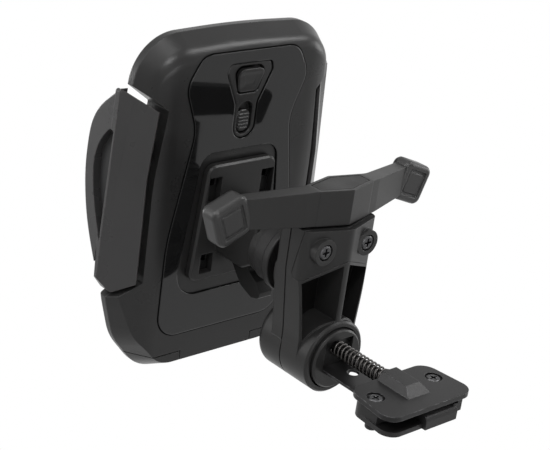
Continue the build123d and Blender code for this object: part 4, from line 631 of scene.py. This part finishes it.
# Inset and Y of each ring: the bezel's rim from its back to its face, and its wells from the face down.
BEZEL_RINGS = ((0.0, WELL_FLOOR), (0.1, -0.5), (0.35, KEYHOLE_FLOOR - 0.12), (0.75, KEYHOLE_FLOOR))
WELL_RINGS = ((0.0, KEYHOLE_FLOOR), (0.2, KEYHOLE_FLOOR - 0.3), (0.25, WELL_FLOOR))
BUTTON_UNDERSIDE = -0.24          # stays above the floor of the well when the button is pressed
BUTTON_SIDE_DROP = 0.3            # from the crest to the top of the button's side
# Inset of each ring of the button's face, and its drop below the crest.
BUTTON_RINGS = ((0.12, 0.1), (0.4, 0.0), (1.0, 0.02), (1.7, 0.04), (2.4, 0.05))
# Rise of the button's face: where it begins, how far along Z it runs, how high it is and its power.
CREST_START_Z = 29.8
CREST_RUN = 6.6
CREST_HEIGHT = 1.2
CREST_POWER = 1.8
CREST_PROUD = 0.05                # of the bezel's face, where the rise begins
# Inset and Y of each ring of the slider, from its underside up.
SLIDER_RINGS = ((0.0, WELL_FLOOR + 0.2), (0.0, -0.75), (0.3, -0.45))
# Grip ribs of the slider, from the bottom up: the first one is shorter.
RIB_COUNT = 5
RIB_FIRST_Z = 18.6
RIB_PITCH = 1.05
RIB_HALF_LENGTH = 1.9
FIRST_RIB_HALF_LENGTH = 1.5
RIB_PROFILE = ((-0.34, -0.5), (-0.22, -0.2), (0.0, -0.08), (0.22, -0.2), (0.34, -0.5))   # (Z, Y)
CORNER_SHARE = 0.49               # most of an edge that the rounding of one corner may take


def soft_loop(half, steps=8):
    """Closed symmetrical loop with rounded corners, from the corners of its right half."""
    corners = list(half) + [((-x, z), r) for (x, z), r in reversed(half)]
    loop = []
    for i, (corner, radius) in enumerate(corners):
        here = Vector(corner)
        before = Vector(corners[i - 1][0]) - here
        after = Vector(corners[(i + 1) % len(corners)][0]) - here
        half_angle = before.angle(after) / 2
        room = min(before.length, after.length) * CORNER_SHARE
        reach = min(radius / math.tan(half_angle), room)
        a = here + before.normalized() * reach
        middle = (before.normalized() + after.normalized()).normalized()
        centre = here + middle * reach / math.cos(half_angle)
        turn = (a - centre).angle_signed(here + after.normalized() * reach - centre)
        for k in range(steps + 1):
            t = -turn * k / steps
            arm = a - centre
            loop.append(centre + Vector((arm.x * math.cos(t) - arm.y * math.sin(t),
                                         arm.x * math.sin(t) + arm.y * math.cos(t))))
    return loop


def shrunk(loop, inset):
    """The loop moved inwards by inset, along the normals of its corners."""
    moved = []
    for i, here in enumerate(loop):
        along = loop[(i + 1) % len(loop)] - loop[i - 1]
        moved.append(here + Vector((along.y, -along.x)).normalized() * inset)
    return moved


def ring(bm, loop, height):
    """Vertices of a loop, at a Y that may depend on Z."""
    return [bm.verts.new(at(v.x, height(v.y) if callable(height) else height, v.y)) for v in loop]


def lofted(bm, loop, steps):
    """Rings of one loop, each with its inset and its Y, with a band between each two of them."""
    rings = [ring(bm, shrunk(loop, inset), height) for inset, height in steps]
    for low, high in zip(rings, rings[1:]):
        bridge(bm, low, high)
    return rings


def fill(bm, rings):
    """Flat or sloping face within the first ring, with the other rings as holes."""
    edges = [bm.edges.get((r[i], r[(i + 1) % len(r)])) for r in rings for i in range(len(r))]
    bmesh.ops.triangle_fill(bm, edges=edges, use_beauty=True)


def bezel_insert(bm):
    """Bezel with a softened rim, and two wells in it: one for the button, one for the slider."""
    rings = lofted(bm, soft_loop(BEZEL_HALF), BEZEL_RINGS)
    holes = []
    for half in (WELL_HALF, SLOT_HALF):
        steps = lofted(bm, soft_loop(half), WELL_RINGS)
        fill(bm, [steps[-1]])
        holes.append(steps[0])
    fill(bm, [rings[-1]] + holes)


def button_crest(z, drop=0.0):
    """Y of the button's face, less a drop: highest near its top edge, almost level with the bezel below."""
    t = max(0.0, min(1.0, (z - CREST_START_Z) / CREST_RUN))
    return KEYHOLE_FLOOR + CREST_PROUD + CREST_HEIGHT * t ** CREST_POWER - drop


def button_face(bm):
    """Button with a flat underside and a face that rises towards its top edge."""
    steps = [(0.0, BUTTON_UNDERSIDE), (0.0, partial(button_crest, drop=BUTTON_SIDE_DROP))]
    steps += [(inset, partial(button_crest, drop=drop)) for inset, drop in BUTTON_RINGS]
    rings = lofted(bm, soft_loop(BUTTON_HALF), steps)
    fill(bm, [rings[-1]])
    fill(bm, [rings[0]])


def slider_cap(bm):
    """Rounded slide switch with grip ribs across it."""
    rings = lofted(bm, soft_loop(SLIDER_HALF), SLIDER_RINGS)
    fill(bm, [rings[0]])
    fill(bm, [rings[-1]])
    for i in range(RIB_COUNT):
        z = RIB_FIRST_Z + i * RIB_PITCH
        w = RIB_HALF_LENGTH if i > 0 else FIRST_RIB_HALF_LENGTH
        ends = [[bm.verts.new(at(x, y, z + dz)) for dz, y in RIB_PROFILE] for x in (-w, w)]
        for k in range(len(RIB_PROFILE) - 1):
            bm.faces.new((ends[0][k], ends[0][k + 1], ends[1][k + 1], ends[1][k]))
        for end in ends:
            bm.faces.new(end)


# Right half of the outline of the gloss panel, from its top down.
PANEL_HALF = (((17.6, 42.3), 6.0), ((22.6, 33.5), 7.0), ((17.4, 20.0), 14.0), ((23.8, -14.0), 60.0),
              ((23.8, -44.5), 7.5))
SEAM_CORNER_STEPS = 12
SEAM_RINGS = ((-0.02, 0.02), (-0.42, 0.02))       # inset from the panel's outline, and Y


def seam(bm):
    """Dark joint round the gloss panel, a ribbon just above the shell."""
    lofted(bm, soft_loop(PANEL_HALF, SEAM_CORNER_STEPS), SEAM_RINGS)


# Painted shade in the arm's pockets, a dark sheet on their floor: middle of the hub, radius kept clear of
# it, and the corners above it.
POCKET_Y = 39.83
POCKET_HUB_Z = -32.3
POCKET_HUB_R = 11.35
POCKET_CORNERS = ((1.05, -4.2), (12.4, -8.85), (9.9, -26.0))
POCKET_ARC_STEPS = 8


def pocket_shade_sheet(bm):
    """Painted shade: thin dark sheet on the floor of each pocket of the arm, standing in for its shadow."""
    near, far = POCKET_CORNERS[0][0], POCKET_CORNERS[-1][0]
    for side in (-1, 1):
        points = list(POCKET_CORNERS)
        for k in range(POCKET_ARC_STEPS + 1):
            x = far + (near - far) * k / POCKET_ARC_STEPS
            points.append((x, POCKET_HUB_Z + math.sqrt(POCKET_HUB_R ** 2 - x ** 2)))
        bm.faces.new([bm.verts.new(at(side * x, POCKET_Y, z)) for x, z in points])


def keyhole(material):
    """Rounder bezel, button and slider, which stand for the plain ones."""
    pieces = {
        "keyhole_insert": (bezel_insert, "cradle", "keyhole_bezel"),
        "button_tab": (button_face, "button", "release_button"),
        "slide_cap": (slider_cap, "lock", "lock_slider"),
    }
    for name, (edit, body, node) in pieces.items():
        piece = new_piece(name, edit, material, body)
        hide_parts(node)


bpy.context.scene.view_settings.view_transform = "Standard"
camera = make_camera()
studio(camera)
floor()
screw_steel, soft_rubber, shell_satin = dress_all()
screw_heads(screw_steel)
wing_pads(soft_rubber)
keyhole(shell_satin)
# Painted shade: dark sheets on the floors of the arm's pockets.
new_piece("pocket_shade_sheets", pocket_shade_sheet, pocket_shade_paint(), "arm")
new_piece("panel_seam", seam, seam_black(), "cradle")
